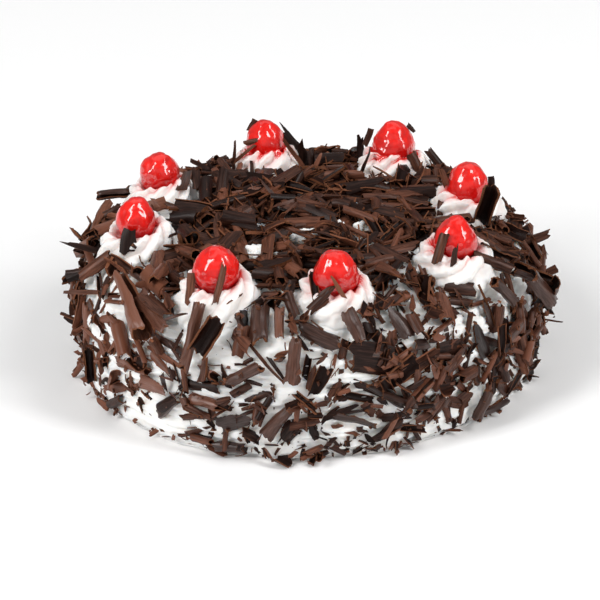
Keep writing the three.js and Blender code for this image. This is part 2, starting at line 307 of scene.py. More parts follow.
# %% The cream-covered cake
WELD = 0.001
TURN_STEPS = 540
RING_STEP = 0.75
HIDDEN_STEP = 5.0
HIDDEN_RUN = 60.0  # the heap hides the cream up to here
SWAY = 4.0  # how far the ridges rise and fall
SWAY_PATCH = 36
RIDGE, DRAG, STEP, DAB, TEAR = 1.5, 0.5, 1.6, 1.7, 0.5  # how deep the knife leaves each
FOOT_FADE = 5.0  # the marks get shallower this near the floor
FOOT_MARKS = 0.4  # and keep this share of their depth at the floor


def spun(profile, steps):
    """Turns an open outline of (radius, height) points once round the Z axis."""
    shape = bmesh.new()
    corners = [shape.verts.new((radius, 0, height)) for radius, height in profile]
    for first, second in zip(corners, corners[1:]):
        shape.edges.new((first, second))
    bmesh.ops.spin(
        shape,
        geom=shape.verts[:] + shape.edges[:],
        cent=(0, 0, 0),
        axis=(0, 0, 1),
        angle=2 * math.pi,
        steps=steps,
        use_merge=True,
    )
    bmesh.ops.remove_doubles(shape, verts=shape.verts[:], dist=WELD)
    bmesh.ops.recalc_face_normals(shape, faces=shape.faces[:])
    return shape


def stretched_noise(point, level, upright, shift):
    """Noise from -1 to 1 with one size of patch along the level and another up the side."""
    return noise.noise(Vector((point.x / level, point.y / level, point.z / upright + shift)))


def knife_marks(point):
    """How far the palette knife left the cream proud of its even outline."""
    sway = SWAY * noise.noise(Vector((point.x, point.y, 50)) / SWAY_PATCH)
    swayed = point + Vector((0, 0, sway))
    ridge = 0.6 - 2.2 * abs(stretched_noise(swayed, level=44, upright=3.6, shift=0))
    drag = 0.3 - abs(stretched_noise(swayed, level=18, upright=1.5, shift=55))
    step = stretched_noise(swayed, level=28, upright=8, shift=31)
    dab = stretched_noise(point, level=14, upright=11, shift=77)
    tear = stretched_noise(point, level=4.5, upright=2.6, shift=120)
    return RIDGE * ridge + DRAG * drag + STEP * step + DAB * dab + TEAR * tear


hidden_runs = np.arange(0, HIDDEN_RUN, HIDDEN_STEP)
shown_runs = np.arange(HIDDEN_RUN, RUN_END, RING_STEP)
profile = [on_outline(run)[:2] for run in [*hidden_runs, *shown_runs, RUN_END]] + [(0, 0)]
body = spun(profile, TURN_STEPS)
for corner in body.verts:
    if corner.co.z > WELD:
        fade = min(corner.co.z / FOOT_FADE, 1)
        share = FOOT_MARKS + (1 - FOOT_MARKS) * fade
        corner.co += corner.normal * knife_marks(corner.co) * share
cake_body = add_piece(
    "whipped_cream_cake", mesh_of("whipped_cream_cake", body), cake_cream, ["cake"]
)

# %% [markdown]
# A glazed cherry is candied fruit under clear syrup: a deep red that light goes into, below a hard
# gloss. The red is painted darker towards the foot, as painted shade, so the material mixes two reds
# by height on the piece. A coat gives the syrup its sharp highlights.

# %% The glazed cherries' material
CHERRY_BRIGHT = (0.86, 0.013, 0.008, 1)
# The red at the foot is painted shade.
CHERRY_SHADED_RED = (0.42, 0.001, 0.002, 1)
SHADED_BELOW, BRIGHT_ABOVE = 0.078, 0.090  # heights on the cake, in metres
FLESH_RATE = 220.0  # patches of the flesh in a metre
FLESH_DENTS = 0.0004
cherry_red, tree, shader = new_material(
    "glazed_cherry",
    Roughness=0.3,
    Specular_IOR_Level=0.2,
    Subsurface_Weight=0.25,
    Subsurface_Radius=(1.0, 0.05, 0.03),
    Subsurface_Scale=0.003,
    Coat_Weight=1.0,
    Coat_Roughness=0.02,
    Coat_IOR=1.6,
)
where = add_node(tree, "ShaderNodeTexCoord").outputs["Object"]
height = add_node(tree, "ShaderNodeSeparateXYZ", {0: where}).outputs["Z"]
upper = add_node(
    tree,
    "ShaderNodeMapRange",
    {"Value": height, "From Min": SHADED_BELOW, "From Max": BRIGHT_ABOVE},
)
flesh = add_node(
    tree, "ShaderNodeTexNoise", {"Vector": where, "Scale": FLESH_RATE, "Detail": 2.0}
)
patchy = add_node(
    tree, "ShaderNodeMath", {0: upper.outputs[0], 1: flesh.outputs[0]}, operation="MULTIPLY"
)
brighter = add_node(
    tree, "ShaderNodeMath", {0: patchy.outputs[0], 1: 1.9}, operation="MULTIPLY", use_clamp=True
)
colour = blend_colours(tree, brighter.outputs[0], CHERRY_SHADED_RED, CHERRY_BRIGHT)
tree.links.new(colour, shader.inputs["Base Color"])
dents = add_node(
    tree,
    "ShaderNodeBump",
    {"Height": flesh.outputs[0], "Strength": 0.6, "Distance": FLESH_DENTS},
)
tree.links.new(dents.outputs[0], shader.inputs["Normal"])
print("the cherries' red has", len(tree.nodes), "nodes")

# %% [markdown]
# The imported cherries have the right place, size, lean and taper but only a few flat faces. A copy
# is merged, rounded by three levels of Subdivision Surface, and scaled back to its box, because
# rounding shrinks a shape. Noise then gives each one shallow dents, and small pits in them, which
# break up its highlights.

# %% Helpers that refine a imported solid
FLAT_ENOUGH = math.radians(25)  # two triangles that meet at less than this become one quad
ANY_QUAD = math.radians(180)


def copy_of(node):
    """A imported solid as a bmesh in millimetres, with its loose triangles merged into quads."""
    shape = bmesh.new()
    shape.from_mesh(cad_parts[node].data)
    bmesh.ops.scale(shape, vec=(1 / MM,) * 3, verts=shape.verts[:])
    bmesh.ops.remove_doubles(shape, verts=shape.verts[:], dist=WELD)
    bmesh.ops.join_triangles(
        shape,
        faces=shape.faces[:],
        angle_face_threshold=FLAT_ENOUGH,
        angle_shape_threshold=ANY_QUAD,
    )
    return shape


def rounded(shape, levels):
    """The shape after a Subdivision Surface of some levels. Creased edges stay sharp."""
    holder = bpy.data.objects.new("rounding", mesh_of("rounding", shape))
    bpy.context.scene.collection.objects.link(holder)
    modifier = holder.modifiers.new("rounding", "SUBSURF")
    modifier.levels = levels
    modifier.render_levels = levels
    result = bmesh.new()
    result.from_object(holder, bpy.context.evaluated_depsgraph_get())
    plain = holder.data
    bpy.data.objects.remove(holder)
    bpy.data.meshes.remove(plain)
    return result


def span(shape):
    """The lowest and the highest corner of a shape."""
    points = np.array([corner.co for corner in shape.verts])
    return Vector(points.min(axis=0)), Vector(points.max(axis=0))

# %% Glazed cherries
CHERRY_COUNT = 8
CHERRY_LEVELS = 3
DENT_DEPTH, DENT_SIZE = 0.9, 7.5
PIT_DEPTH, PIT_SIZE = 0.34, 2.6


def cherry(number):
    """One cherry as a bmesh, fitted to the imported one's box."""
    shape = rounded(copy_of(f"cherry_{number}"), CHERRY_LEVELS)
    low, high = (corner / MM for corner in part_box(f"cherry_{number}"))
    now_low, now_high = span(shape)
    stretch = [(b - a) / (d - c) for a, b, c, d in zip(low, high, now_low, now_high)]
    bmesh.ops.translate(shape, vec=-(now_low + now_high) / 2, verts=shape.verts[:])
    bmesh.ops.scale(shape, vec=stretch, verts=shape.verts[:])
    bmesh.ops.translate(shape, vec=(low + high) / 2, verts=shape.verts[:])
    shape.normal_update()
    for corner in shape.verts:
        dent = noise.noise(corner.co / DENT_SIZE + Vector((0, 0, number * 5.1)))
        pit = noise.noise(corner.co / PIT_SIZE)
        corner.co += corner.normal * (DENT_DEPTH * dent + PIT_DEPTH * pit)
    return shape


cherry_trees = []
for number in range(1, CHERRY_COUNT + 1):
    name = f"glazed_cherry_{number}"
    shape = cherry(number)
    cherry_trees.append(BVHTree.FromBMesh(shape))
    mesh = mesh_of(name, shape)
    add_piece(name, mesh, cherry_red, [f"cherry_{number}"])

# %% [markdown]
# A rosette is piped with a star nozzle that is led once round while it is lifted. That leaves eight
# folds, which wind a third of the way round the rosette between its foot and its lip, with narrow
# creases between them. It starts as a plain tube of rings from a spin. Each corner is then moved:
# its ring gives it a share of the way from the foot to the lip, and its angle says where it lies
# between two creases. The foot follows the cream under it. The cherry pushes the lip down on the
# outside of the cake, so the rosette is lower there. How far each corner lies from the cherry
# places the syrup: a stain close to the fruit, longer in the creases, and a few drips.

# %% The form of a rosette, and its syrup
rng = np.random.default_rng(20)  # every draw comes from here, so that each run makes the same cake
ROSETTE_COUNT = 8
ROSETTE_SIDES = 168
ROSETTE_RINGS = 48
FOLDS = 8
WIND = math.radians(125)  # how far a fold winds round the rosette between the foot and the lip
SUNK = 2.0  # how far the foot lies below the cream
LIP_SLANT = 2.2  # how much lower the lip is on the outside of the cake, and higher on the inside
LIP_DROP = 1.2
LIP_RING = 0.80
ROOM = 1.02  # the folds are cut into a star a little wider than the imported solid
FOLD_DEPTH = 0.085
RIB_DEPTH = 0.22
CREST_RISE = 1.5  # how far the backs of the folds stand above the creases at the lip
SYRUP_THICK = 0.35
# The rosette's wall as (share of the rings, share of the radius, share of the rise).
WALL = np.array(
    [
        (0.00, 0.93, 0.00),
        (0.12, 0.99, 0.12),
        (0.26, 0.98, 0.32),
        (0.42, 0.92, 0.56),
        (0.56, 0.84, 0.78),
        (0.66, 0.76, 0.92),
        (0.74, 0.68, 0.99),
        (0.80, 0.61, 1.00),
        (0.87, 0.54, 0.93),
        (0.94, 0.47, 0.80),
        (1.00, 0.00, 0.62),
    ]
)
# How far the syrup has run from each cherry, in millimetres.
DRIPS = [1.0, 4.5, 6.0, 1.2, 1.0, 1.5, 2.5, 2.5]


def crest_of(phase):
    """1 on the back of a fold, 0 in the crease beside it. The creases are narrow."""
    skewed = phase + 0.45 * math.sin(phase)
    return abs(math.cos(skewed / 2)) ** 0.8


def soft_step(low, high, value):
    """0 below low, 1 above high, and smooth between them."""
    share = min(max((value - low) / (high - low), 0), 1)
    return share * share * (3 - 2 * share)


def fold_at(number, around, ring, angle, wind, start):
    """Where a corner lies between two creases, as an angle, and how far its fold sways there."""
    sway = noise.noise(around * 1.3 + Vector((0, 0, number * 7.3 + ring)))
    sway += 0.45 * noise.noise(around * 3.4 + Vector((0, 4, number * 2.9 + 0.7 * ring)))
    return FOLDS * (angle - wind * ring) + start + 2.2 * sway, sway


def syrup_at(number, phase, crest, fine, gap):
    """How wet, how stained and how glazed the piping is, at some distance from the cherry."""
    drip = DRIPS[number - 1]
    streak = 0.5 + 0.5 * noise.noise(Vector((2.2 * phase, number, 0)))
    run = drip * (0.15 + 1.7 * streak**2 * (1.1 - crest))
    wet = 1 - soft_step(run - 0.7, run + 0.5, gap) if gap else 1
    near = math.exp(-gap / (1.1 + 0.6 * drip**0.5)) + 0.10 * math.exp(-gap / 9)
    blush = 0.012 + near * (0.6 + 1.0 * (1 - crest) + 0.5 * (1 - fine)) * (0.3 + 1.4 * streak)
    return wet, min(1, blush), wet * soft_step(0.15, 0.5, streak)

# %% Piped rosettes
def rosette(number, fruit):
    """One rosette as a bmesh, with its stain and glaze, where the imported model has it."""
    low, high = (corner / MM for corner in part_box(f"rosette_{number}"))
    middle = (low + high) / 2
    outwards = math.atan2(middle.y, middle.x)
    radius = ROOM * max(high.x - low.x, high.y - low.y) / 2
    start = rng.uniform(0, 2 * math.pi)
    wind = WIND * rng.uniform(0.85, 1.15)
    shape = spun([(1, ring) for ring in range(ROSETTE_RINGS)], ROSETTE_SIDES)
    stain_layer = shape.verts.layers.float.new("stain")
    glaze_layer = shape.verts.layers.float.new("glaze")
    for corner in shape.verts:
        ring = corner.co.z / (ROSETTE_RINGS - 1)
        angle = math.atan2(corner.co.y, corner.co.x)
        wide = np.interp(ring, WALL[:, 0], WALL[:, 1])
        rise = np.interp(ring, WALL[:, 0], WALL[:, 2])
        around = Vector((math.cos(angle), math.sin(angle), 0))
        wobble = noise.noise(around * 2.6 + Vector((9, 0, number * 3.1)))
        phase, sway = fold_at(number, around, ring, angle, wind, start)
        crest = crest_of(phase)
        fine = crest_of(3 * phase + 1)
        raised = soft_step(0, 0.3, ring) * (1 - soft_step(LIP_RING + 0.06, 0.98, ring))
        depth = (FOLD_DEPTH + 0.09 * wobble) * raised + 0.02
        reach = radius * wide * (1 - depth * (1 - crest)) * (1 + 0.06 * sway)
        reach -= (RIB_DEPTH + 0.2 * wobble) * (1 - fine) * raised
        x = middle.x + reach * math.cos(angle)
        y = middle.y + reach * math.sin(angle)
        lip = high.z - LIP_DROP - LIP_SLANT * math.cos(angle - outwards) + 1.1 * wobble
        foot = cream_height(math.hypot(x, y)) - SUNK
        z = foot + (lip - foot) * rise + CREST_RISE * (crest - 0.6) * soft_step(0.3, 0.75, ring)
        ragged = noise.noise(around * 4.3 + Vector((5, 0, number)))
        z += CREST_RISE * ragged * soft_step(0.45, 0.75, ring)
        spot = Vector((x, y, z))
        uneven = 0.9 * noise.noise(spot / 5.5) + 0.4 * noise.noise(spot / 2.3)
        uneven += 0.2 * noise.noise(spot / 1.1)
        up_and_out = Vector((around.x, around.y, 0.6)).normalized()
        place = spot + up_and_out * uneven
        _, _, _, gap = fruit.find_nearest(place)
        wet, corner[stain_layer], corner[glaze_layer] = syrup_at(number, phase, crest, fine, gap)
        corner.co = place + up_and_out * SYRUP_THICK * wet
    bmesh.ops.remove_doubles(shape, verts=shape.verts[:], dist=0.01)
    bmesh.ops.contextual_create(shape, geom=[e for e in shape.edges if e.is_boundary])
    bmesh.ops.recalc_face_normals(shape, faces=shape.faces[:])
    return shape


for number in range(1, ROSETTE_COUNT + 1):
    name = f"piped_rosette_{number}"
    mesh = mesh_of(name, rosette(number, cherry_trees[number - 1]))
    add_piece(name, mesh, piped_cream, [f"rosette_{number}"])

# %% [markdown]
# Shaved dark chocolate looks different on each of its sides. The outer face is smooth, with a faint
# gloss and fine streaks along the way the blade went. Broken and cut edges are rougher and a warmer
# brown. Every shaving has its own depth of brown, and the hollow inside of a roll is painted the
# darkest, as painted shade. Four things kept on the meshes tell the material about this: grain is a
# place within the shaving, whose X runs along it, shade is its brown, its own tone together with
# painted light and painted shade for where it lies, cut is 1 on an edge face and inside is 1 in its
# hollow. The node group turns them into a colour, a roughness, a share of gloss and a height, for
# the small shavings, the large curls and the imported heap under them.

# %% The surface of shaved chocolate
STREAK_RATE = (0.10, 1.1, 1.1)  # streaks in a millimetre, along the shaving and across it
shaved, shaved_in, shaved_out = new_group(
    "shaved_chocolate_surface",
    {
        "Darkest": ("NodeSocketColor", (0.009, 0.0022, 0.001, 1)),
        "Lightest": ("NodeSocketColor", (0.168, 0.060, 0.033, 1)),
        "Cut": ("NodeSocketColor", (0.21, 0.078, 0.034, 1)),
        "Streakiness": ("NodeSocketFloat", 1.5),
        "Gloss": ("NodeSocketFloat", 0.5),
    },
    {
        "Color": "NodeSocketColor",
        "Roughness": "NodeSocketFloat",
        "Coat": "NodeSocketFloat",
        "Height": "NodeSocketFloat",
    },
)
grain = add_node(shaved, "ShaderNodeAttribute", attribute_name="grain").outputs["Vector"]
shade = add_node(shaved, "ShaderNodeAttribute", attribute_name="shade").outputs["Fac"]
cut = add_node(shaved, "ShaderNodeAttribute", attribute_name="cut").outputs["Fac"]
inside = add_node(shaved, "ShaderNodeAttribute", attribute_name="inside").outputs["Fac"]
along_blade = add_node(
    shaved, "ShaderNodeVectorMath", {0: grain, 1: STREAK_RATE}, operation="MULTIPLY"
).outputs[0]
streaks = add_node(
    shaved,
    "ShaderNodeTexNoise",
    {"Vector": along_blade, "Scale": 1.0, "Detail": 4.0, "Roughness": 0.6},
).outputs[0]
crumble = add_node(
    shaved, "ShaderNodeTexNoise", {"Vector": grain, "Scale": 1.3, "Detail": 3.0}
).outputs[0]

# %% How brown it is
OWN_SPREAD, OWN_SHIFT = 0.95, -0.70  # from the shade of a shaving to its share of the lighter brown
# The hollow inside a roll or a curl is painted darker, as painted shade.
HOLLOW_PAINTED_SHADE = -0.55
MIDDLE_SHARE = 0.75
own_brown = add_node(
    shaved, "ShaderNodeMath", {0: shade, 1: OWN_SPREAD, 2: OWN_SHIFT}, operation="MULTIPLY_ADD"
).outputs[0]
brown_with_hollow_shade = add_node(
    shaved, "ShaderNodeMath", {0: inside, 1: HOLLOW_PAINTED_SHADE, 2: own_brown}, operation="MULTIPLY_ADD"
).outputs[0]
level_streaks = add_node(shaved, "ShaderNodeMath", {0: streaks, 1: -0.5}).outputs[0]
middle_brown = add_node(shaved, "ShaderNodeMath", {0: brown_with_hollow_shade, 1: MIDDLE_SHARE}).outputs[0]
brown_share = add_node(
    shaved,
    "ShaderNodeMath",
    {0: level_streaks, 1: shaved_in.outputs["Streakiness"], 2: middle_brown},
    operation="MULTIPLY_ADD",
    use_clamp=True,
).outputs[0]
browner = add_node(
    shaved, "ShaderNodeMath", {0: brown_share, 1: 2.0}, operation="POWER"
).outputs[0]
brown = blend_colours(
    shaved, browner, shaved_in.outputs["Darkest"], shaved_in.outputs["Lightest"]
)
edge_share = add_node(
    shaved, "ShaderNodeMath", {0: cut, 1: crumble}, operation="MULTIPLY"
).outputs[0]
colour = blend_colours(shaved, edge_share, brown, shaved_in.outputs["Cut"])
shaved.links.new(colour, shaved_out.inputs["Color"])

# %% How rough and how glossy it is
SMOOTHEST, DULLEST = 0.30, 0.55
CUT_ROUGHER = 0.2
CRUMBLE_SHARE = 0.6
dullness = add_node(
    shaved, "ShaderNodeMapRange", {"Value": streaks, "To Min": SMOOTHEST, "To Max": DULLEST}
).outputs[0]
rougher = add_node(
    shaved, "ShaderNodeMath", {0: cut, 1: CUT_ROUGHER, 2: dullness}, operation="MULTIPLY_ADD"
)
shaved.links.new(rougher.outputs[0], shaved_out.inputs["Roughness"])
not_outside = add_node(
    shaved, "ShaderNodeMath", {0: inside, 1: cut}, operation="ADD", use_clamp=True
).outputs[0]
coat = add_node(
    shaved,
    "ShaderNodeMapRange",
    {"Value": not_outside, "To Min": shaved_in.outputs["Gloss"], "To Max": 0.0},
).outputs[0]
worn_coat = add_node(shaved, "ShaderNodeMath", {0: coat, 1: streaks}, operation="MULTIPLY")
shaved.links.new(worn_coat.outputs[0], shaved_out.inputs["Coat"])
crumbled = add_node(
    shaved, "ShaderNodeMath", {0: crumble, 1: CRUMBLE_SHARE, 2: streaks}, operation="MULTIPLY_ADD"
)
shaved.links.new(crumbled.outputs[0], shaved_out.inputs["Height"])
print("the chocolate's surface is a group of", len(shaved.nodes), "nodes")

# %% The two chocolates
def chocolate(name, relief, streakiness, gloss):
    """A chocolate material whose bump is so many millimetres deep."""
    material, tree, shader = new_material(name, Specular_IOR_Level=0.12, Coat_Roughness=0.38)
    surface = add_node(tree, "ShaderNodeGroup", node_tree=shaved)
    surface.inputs["Streakiness"].default_value = streakiness
    surface.inputs["Gloss"].default_value = gloss
    bump = add_node(
        tree, "ShaderNodeBump", {"Height": surface.outputs["Height"], "Distance": relief * MM}
    )
    tree.links.new(surface.outputs["Color"], shader.inputs["Base Color"])
    tree.links.new(surface.outputs["Roughness"], shader.inputs["Roughness"])
    tree.links.new(bump.outputs[0], shader.inputs["Normal"])
    tree.links.new(surface.outputs["Coat"], shader.inputs["Coat Weight"])
    return material


small_chocolate = chocolate("shaved_chocolate", relief=0.2, streakiness=1.4, gloss=0.42)
large_chocolate = chocolate("curled_chocolate", relief=0.25, streakiness=0.8, gloss=1.4)

# %% [markdown]
# The largest curls are already solids of their true form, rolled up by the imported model, but their
# sections have flat steps and their ends are cut clean. Each gets a refined copy. Sharp edges are
# creased, so that rounding leaves them sharp. The faces then fall into patches with no sharp edge
# inside them: the two largest are the outer and the inner side, and the rest are the edges. Those
# are moved in and out, which breaks them as brittle chocolate breaks.

# %% Helpers for sharp edges and what the material reads
def crease_sharp_edges(shape):
    """Marks the sharp edges so that a Subdivision Surface keeps them."""
    crease = shape.edges.layers.float.new("crease_edge")
    for edge in shape.edges:
        edge[crease] = float(edge.calc_face_angle(math.pi) > SHARP_EDGE)


def patches(shape):
    """The faces, grouped so that no sharp edge lies inside a group, largest group first."""
    left = set(shape.faces)
    groups = []
    for start in shape.faces:
        if start not in left:
            continue
        left.remove(start)
        group = [start]
        for face in group:
            for edge in face.edges:
                if edge.calc_face_angle(math.pi) > SHARP_EDGE:
                    continue
                fresh = [other for other in edge.link_faces if other in left]
                left.difference_update(fresh)
                group.extend(fresh)
        groups.append(group)
    return sorted(groups, key=lambda group: -sum(face.calc_area() for face in group))


def own_axes(points):
    """The middle of some points, and three directions with the longest way through them first."""
    middle = points.mean(axis=0)
    _, directions = np.linalg.eigh(np.cov((points - middle).T))
    return middle, directions[:, ::-1]


def add_shaving_data(mesh, grain, shade, cut, inside):
    """Keeps on a mesh's corners what the chocolate material reads."""
    layer = mesh.attributes.new("grain", "FLOAT_VECTOR", "POINT")
    layer.data.foreach_set("vector", np.ascontiguousarray(grain, np.float32).ravel())
    layer = mesh.attributes.new("shade", "FLOAT", "POINT")
    layer.data.foreach_set("value", np.ascontiguousarray(shade, np.float32))
    for name, numbers in (("cut", cut), ("inside", inside)):
        layer = mesh.attributes.new(name, "FLOAT", "CORNER")
        layer.data.foreach_set("value", np.ascontiguousarray(numbers, np.float32))

# %% [markdown]
# A curl's ends tear off in coarse steps with small notches in them. Its skin swells in lumps and
# folds, has fine ribs along it, and marks across it where the blade trembled. Its middle line is
# never quite straight. All of that is noise, worked out on the curl's own axes, with one size along
# the curl and another across it.

# %% What noise does to a curl
END_TEAR, TEAR_SIZE = 2.7, 3.0
END_NOTCH, NOTCH_SIZE = 0.8, 0.9
LUMP, FOLD, RIB, MARK = 0.55, 0.4, 0.16, 0.12  # how deep each is
BOW, BOW_LENGTH = 0.9, 13


def torn(place, half, seed):
    """How far a point of a curl moves along it, because its ends broke off unevenly."""
    side = math.copysign(1, place.x)
    tear = noise.noise(Vector((place.y / TEAR_SIZE, place.z / TEAR_SIZE, 5 * side)) + seed)
    notch = noise.noise(Vector((place.y / NOTCH_SIZE, place.z / NOTCH_SIZE, 9 * side)) + seed)
    near_end = soft_step(0.3, 1, abs(place.x) / half)
    return -side * near_end * (END_TEAR * (0.3 + tear) + END_NOTCH * notch)


def swollen(place, seed):
    """How far a point of a curl moves away from its middle line."""
    lump = noise.noise(place / 5 + seed)
    fold = noise.noise(Vector((place.x / 12, place.y / 2.4, place.z / 2.4)) + seed)
    rib = noise.noise(Vector((place.x / 9, place.y / 0.9, place.z / 0.9)) + seed)
    mark = noise.noise(Vector((place.x / 0.8, place.y / 5, place.z / 5)) + seed)
    return LUMP * lump + FOLD * fold + RIB * rib + MARK * mark


def bowed(place, seed):
    """How far the middle line of a curl bends away at a point."""
    along = place.x / BOW_LENGTH
    sideways = noise.noise(Vector((along, 0, 0)) + seed)
    upwards = noise.noise(Vector((along, 7, 0)) + seed)
    return BOW * Vector((0, sideways, upwards))

# %% Large chocolate curls
CURL_LEVELS = 3
BREAK_DEPTH, BREAK_SIZE = 0.7, 1.3
CHATTER = {"curl_14": 1.0}  # the thick chunk in which the blade stuttered and left steps
STEP_LENGTH = 2.1
# How brown each curl is, from 0 for nearly black, with curl 1 on the left made paler by painted
# light. The rest are picked at random.
CURL_BROWNS_AND_PAINTED_LIGHT = {
    1: 1.25, 2: 0.75, 3: 0.1, 4: 1.1, 6: 0.95, 7: 1.0, 8: 0.1, 10: 0.75, 11: 0.45, 12: 0.45,
    13: 0.85, 14: 0.65, 15: 0.55, 17: 0.85, 18: 0.25, 19: 0.55, 20: 0.35, 21: 0.35, 22: 0.5,
    23: 0.35, 24: 0.3, 25: 0.2, 26: 0.4, 27: 0.5, 28: 0.3, 29: 0.45, 30: 0.05, 31: 0.3,
    32: 0.3, 33: 0.45, 34: 0.5,
}
ANY_BROWN = (0.2, 0.9)


def refined_curl(name, node):
    """A refined copy of a packed curl, as a mesh with what its material reads."""
    shape = copy_of(node)
    crease_sharp_edges(shape)
    shape = rounded(shape, CURL_LEVELS)
    shape.normal_update()
    _, hollow, *broken = patches(shape)
    hollow = set(hollow)
    edges = {face for group in broken for face in group}
    for corner in shape.verts:
        sides = [face.normal for face in corner.link_faces if face in edges]
        if sides:
            outwards = sum(sides, Vector()).normalized()
            corner.co += outwards * BREAK_DEPTH * (noise.noise(corner.co / BREAK_SIZE) - 0.15)
    middle, axes = own_axes(np.array([corner.co for corner in shape.verts]))
    to_own = Matrix(axes.T.tolist())
    middle = Vector(middle)
    places = [to_own @ (corner.co - middle) for corner in shape.verts]
    half = max(abs(place.x) for place in places)
    seed = Vector(rng.uniform(0, 90, 3))
    steps = CHATTER.get(node, 0)
    for corner, place in zip(shape.verts, places):
        stepped = (place.x / STEP_LENGTH) % 1
        out = Vector((0, place.y, place.z)).normalized() * swollen(place, seed)
        out *= 1 - steps * stepped * soft_step(-0.2, 0.3, place.x / half)
        move = out + bowed(place, seed) + Vector((torn(place, half, seed), 0, 0))
        move -= Vector((0, place.y, place.z)) * steps * 0.25 * stepped
        corner.co += to_own.transposed() @ move
    shape.faces.ensure_lookup_table()
    cut = [float(face in edges) for face in shape.faces for _ in face.verts]
    # The inner side is painted darker by the material, as painted shade.
    inside = [float(face in hollow) for face in shape.faces for _ in face.verts]
    mesh = mesh_of(name, shape)
    brown = CURL_BROWNS_AND_PAINTED_LIGHT.get(int(node.split("_")[1]), rng.uniform(*ANY_BROWN))
    shade = np.full(len(places), brown)
    add_shaving_data(mesh, np.array(places) + np.array(seed), shade, cut, inside)
    return mesh


curl_nodes = [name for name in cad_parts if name.startswith("curl_")]
curl_nodes.sort(key=lambda name: int(name.split("_")[1]))
for node in curl_nodes:
    name = f"chocolate_{node}"
    add_piece(name, refined_curl(name, node), large_chocolate, [node])

# %% [markdown]
# Between and on the curls lie hundreds of smaller shavings, of six kinds: loose scrolls and tight
# rolls, half-open gutters, thick slabs, thin flakes and splinters. Nobody shapes them one by one:
# fourteen different ones of each kind are enough, because each copy is turned, scaled and placed
# at random. This table says between which limits the forms of a kind lie.

# %% The kinds of small shavings
FORMS_PER_KIND = 14
# Of each kind: the length, the sheet's width before it rolls up, the roll in degrees, how far
# the ends narrow, the thickness, the slant of the ends, the bow and the twist for each millimetre
# of length, how lumpy the sheet is, and the faces along and across.
KINDS = {
    "scrolls": {
        "length": (11, 20), "width": (17, 25), "roll": (280, 400), "narrow": (0, 0.2),
        "thick": (0.5, 0.8), "slant": (-0.25, 0.25), "bow": (-0.004, 0.006), "twist": (-1, 1),
        "lumps": (0.2, 0.5), "along": 3, "across": 9,
    },
    "rolls": {
        "length": (9, 19), "width": (11, 17), "roll": (320, 470), "narrow": (0, 0.15),
        "thick": (0.4, 0.6), "slant": (-0.25, 0.25), "bow": (-0.004, 0.008), "twist": (-1, 1),
        "lumps": (0.1, 0.25), "along": 3, "across": 9,
    },
    "gutters": {
        "length": (8, 19), "width": (7.5, 13.5), "roll": (130, 260), "narrow": (0, 0.5),
        "thick": (0.45, 0.8), "slant": (-0.4, 0.4), "bow": (-0.006, 0.014), "twist": (-2.5, 2.5),
        "lumps": (0.15, 0.4), "along": 4, "across": 5,
    },
    "slabs": {
        "length": (7, 15), "width": (4.5, 9), "roll": (15, 75), "narrow": (0, 0.35),
        "thick": (0.7, 1.6), "slant": (-0.5, 0.5), "bow": (-0.006, 0.012), "twist": (-2, 2),
        "lumps": (0.3, 0.6), "along": 4, "across": 3,
    },
    "flakes": {
        "length": (7, 15), "width": (3.2, 7), "roll": (30, 130), "narrow": (0.45, 0.96),
        "thick": (0.4, 0.8), "slant": (-0.6, 0.6), "bow": (-0.01, 0.03), "twist": (-4, 4),
        "lumps": (0.15, 0.4), "along": 5, "across": 3,
    },
    "splinters": {
        "length": (6, 15), "width": (0.9, 2.1), "roll": (20, 140), "narrow": (0.2, 0.95),
        "thick": (0.4, 0.8), "slant": (-0.5, 0.5), "bow": (-0.02, 0.05), "twist": (-5, 5),
        "lumps": (0.1, 0.25), "along": 5, "across": 1,
    },
}

# %% [markdown]
# A shaving starts as a flat grid. Its ends are cut at a slant and left ragged, its width narrows
# towards them, and solidify gives it its thickness. The sheet is then rolled up about its own
# length, bowed and twisted. A finished form is kept as plain arrays, because hundreds of copies
# will be made of it.

# %% Small shavings, one by one
RAGGED = 0.6
END = 0.49  # corners further along the grid than this are at one of its ends
NARROWING = 2.2
WAVY = 0.22
CLOSED_ROLL = math.radians(300)  # a sheet rolled further than this runs round on its own inside
TURN_ROOM = 1.2  # how far apart two turns of a roll lie, in thicknesses


class Form:
    """A shaving's corners and faces, which of those are edges or hollow, and points all over it."""

    def __init__(self, shape, edge_faces, hollow_faces=()):
        shape.verts.index_update()
        self.corners = np.array([corner.co for corner in shape.verts])
        self.faces = np.array([[corner.index for corner in face.verts] for face in shape.faces])
        self.cut = np.array([float(face in edge_faces) for face in shape.faces])
        self.inside = np.array([float(face in hollow_faces) for face in shape.faces])
        middles = self.corners[self.faces].mean(axis=1)
        self.feelers = np.vstack([self.corners, middles])
        shape.free()


def flat_shaving(kind, look):
    """The sheet of a shaving before it is rolled up: a grid with ragged ends and a thickness."""
    sheet = bmesh.new()
    bmesh.ops.create_grid(
        sheet, x_segments=kind["along"], y_segments=kind["across"], size=0.5
    )
    far, near = look["narrow"], look["narrow"] * rng.uniform(0, 0.9)
    other_slant = rng.uniform(-1, 1) * abs(look["slant"])
    seed = rng.uniform(0, 99)
    for corner in sheet.verts:
        way, across = corner.co.x + 0.5, corner.co.y
        at_end = abs(corner.co.x) > END
        narrowed = 1 - far * way**NARROWING - near * (1 - way) ** NARROWING
        wavy = 1 + WAVY * noise.noise(Vector((way * 3, math.copysign(2, across), seed)))
        slant = look["slant"] * way + other_slant * (1 - way)
        corner.co.y = across * look["width"] * narrowed * wavy
        corner.co.x = corner.co.x * look["length"] + slant * corner.co.y
        corner.co.x += rng.normal(0, RAGGED) if at_end else rng.normal(0, RAGGED / 3)
    bmesh.ops.solidify(sheet, geom=sheet.faces[:], thickness=look["thick"])
    sheet.normal_update()
    return sheet, seed


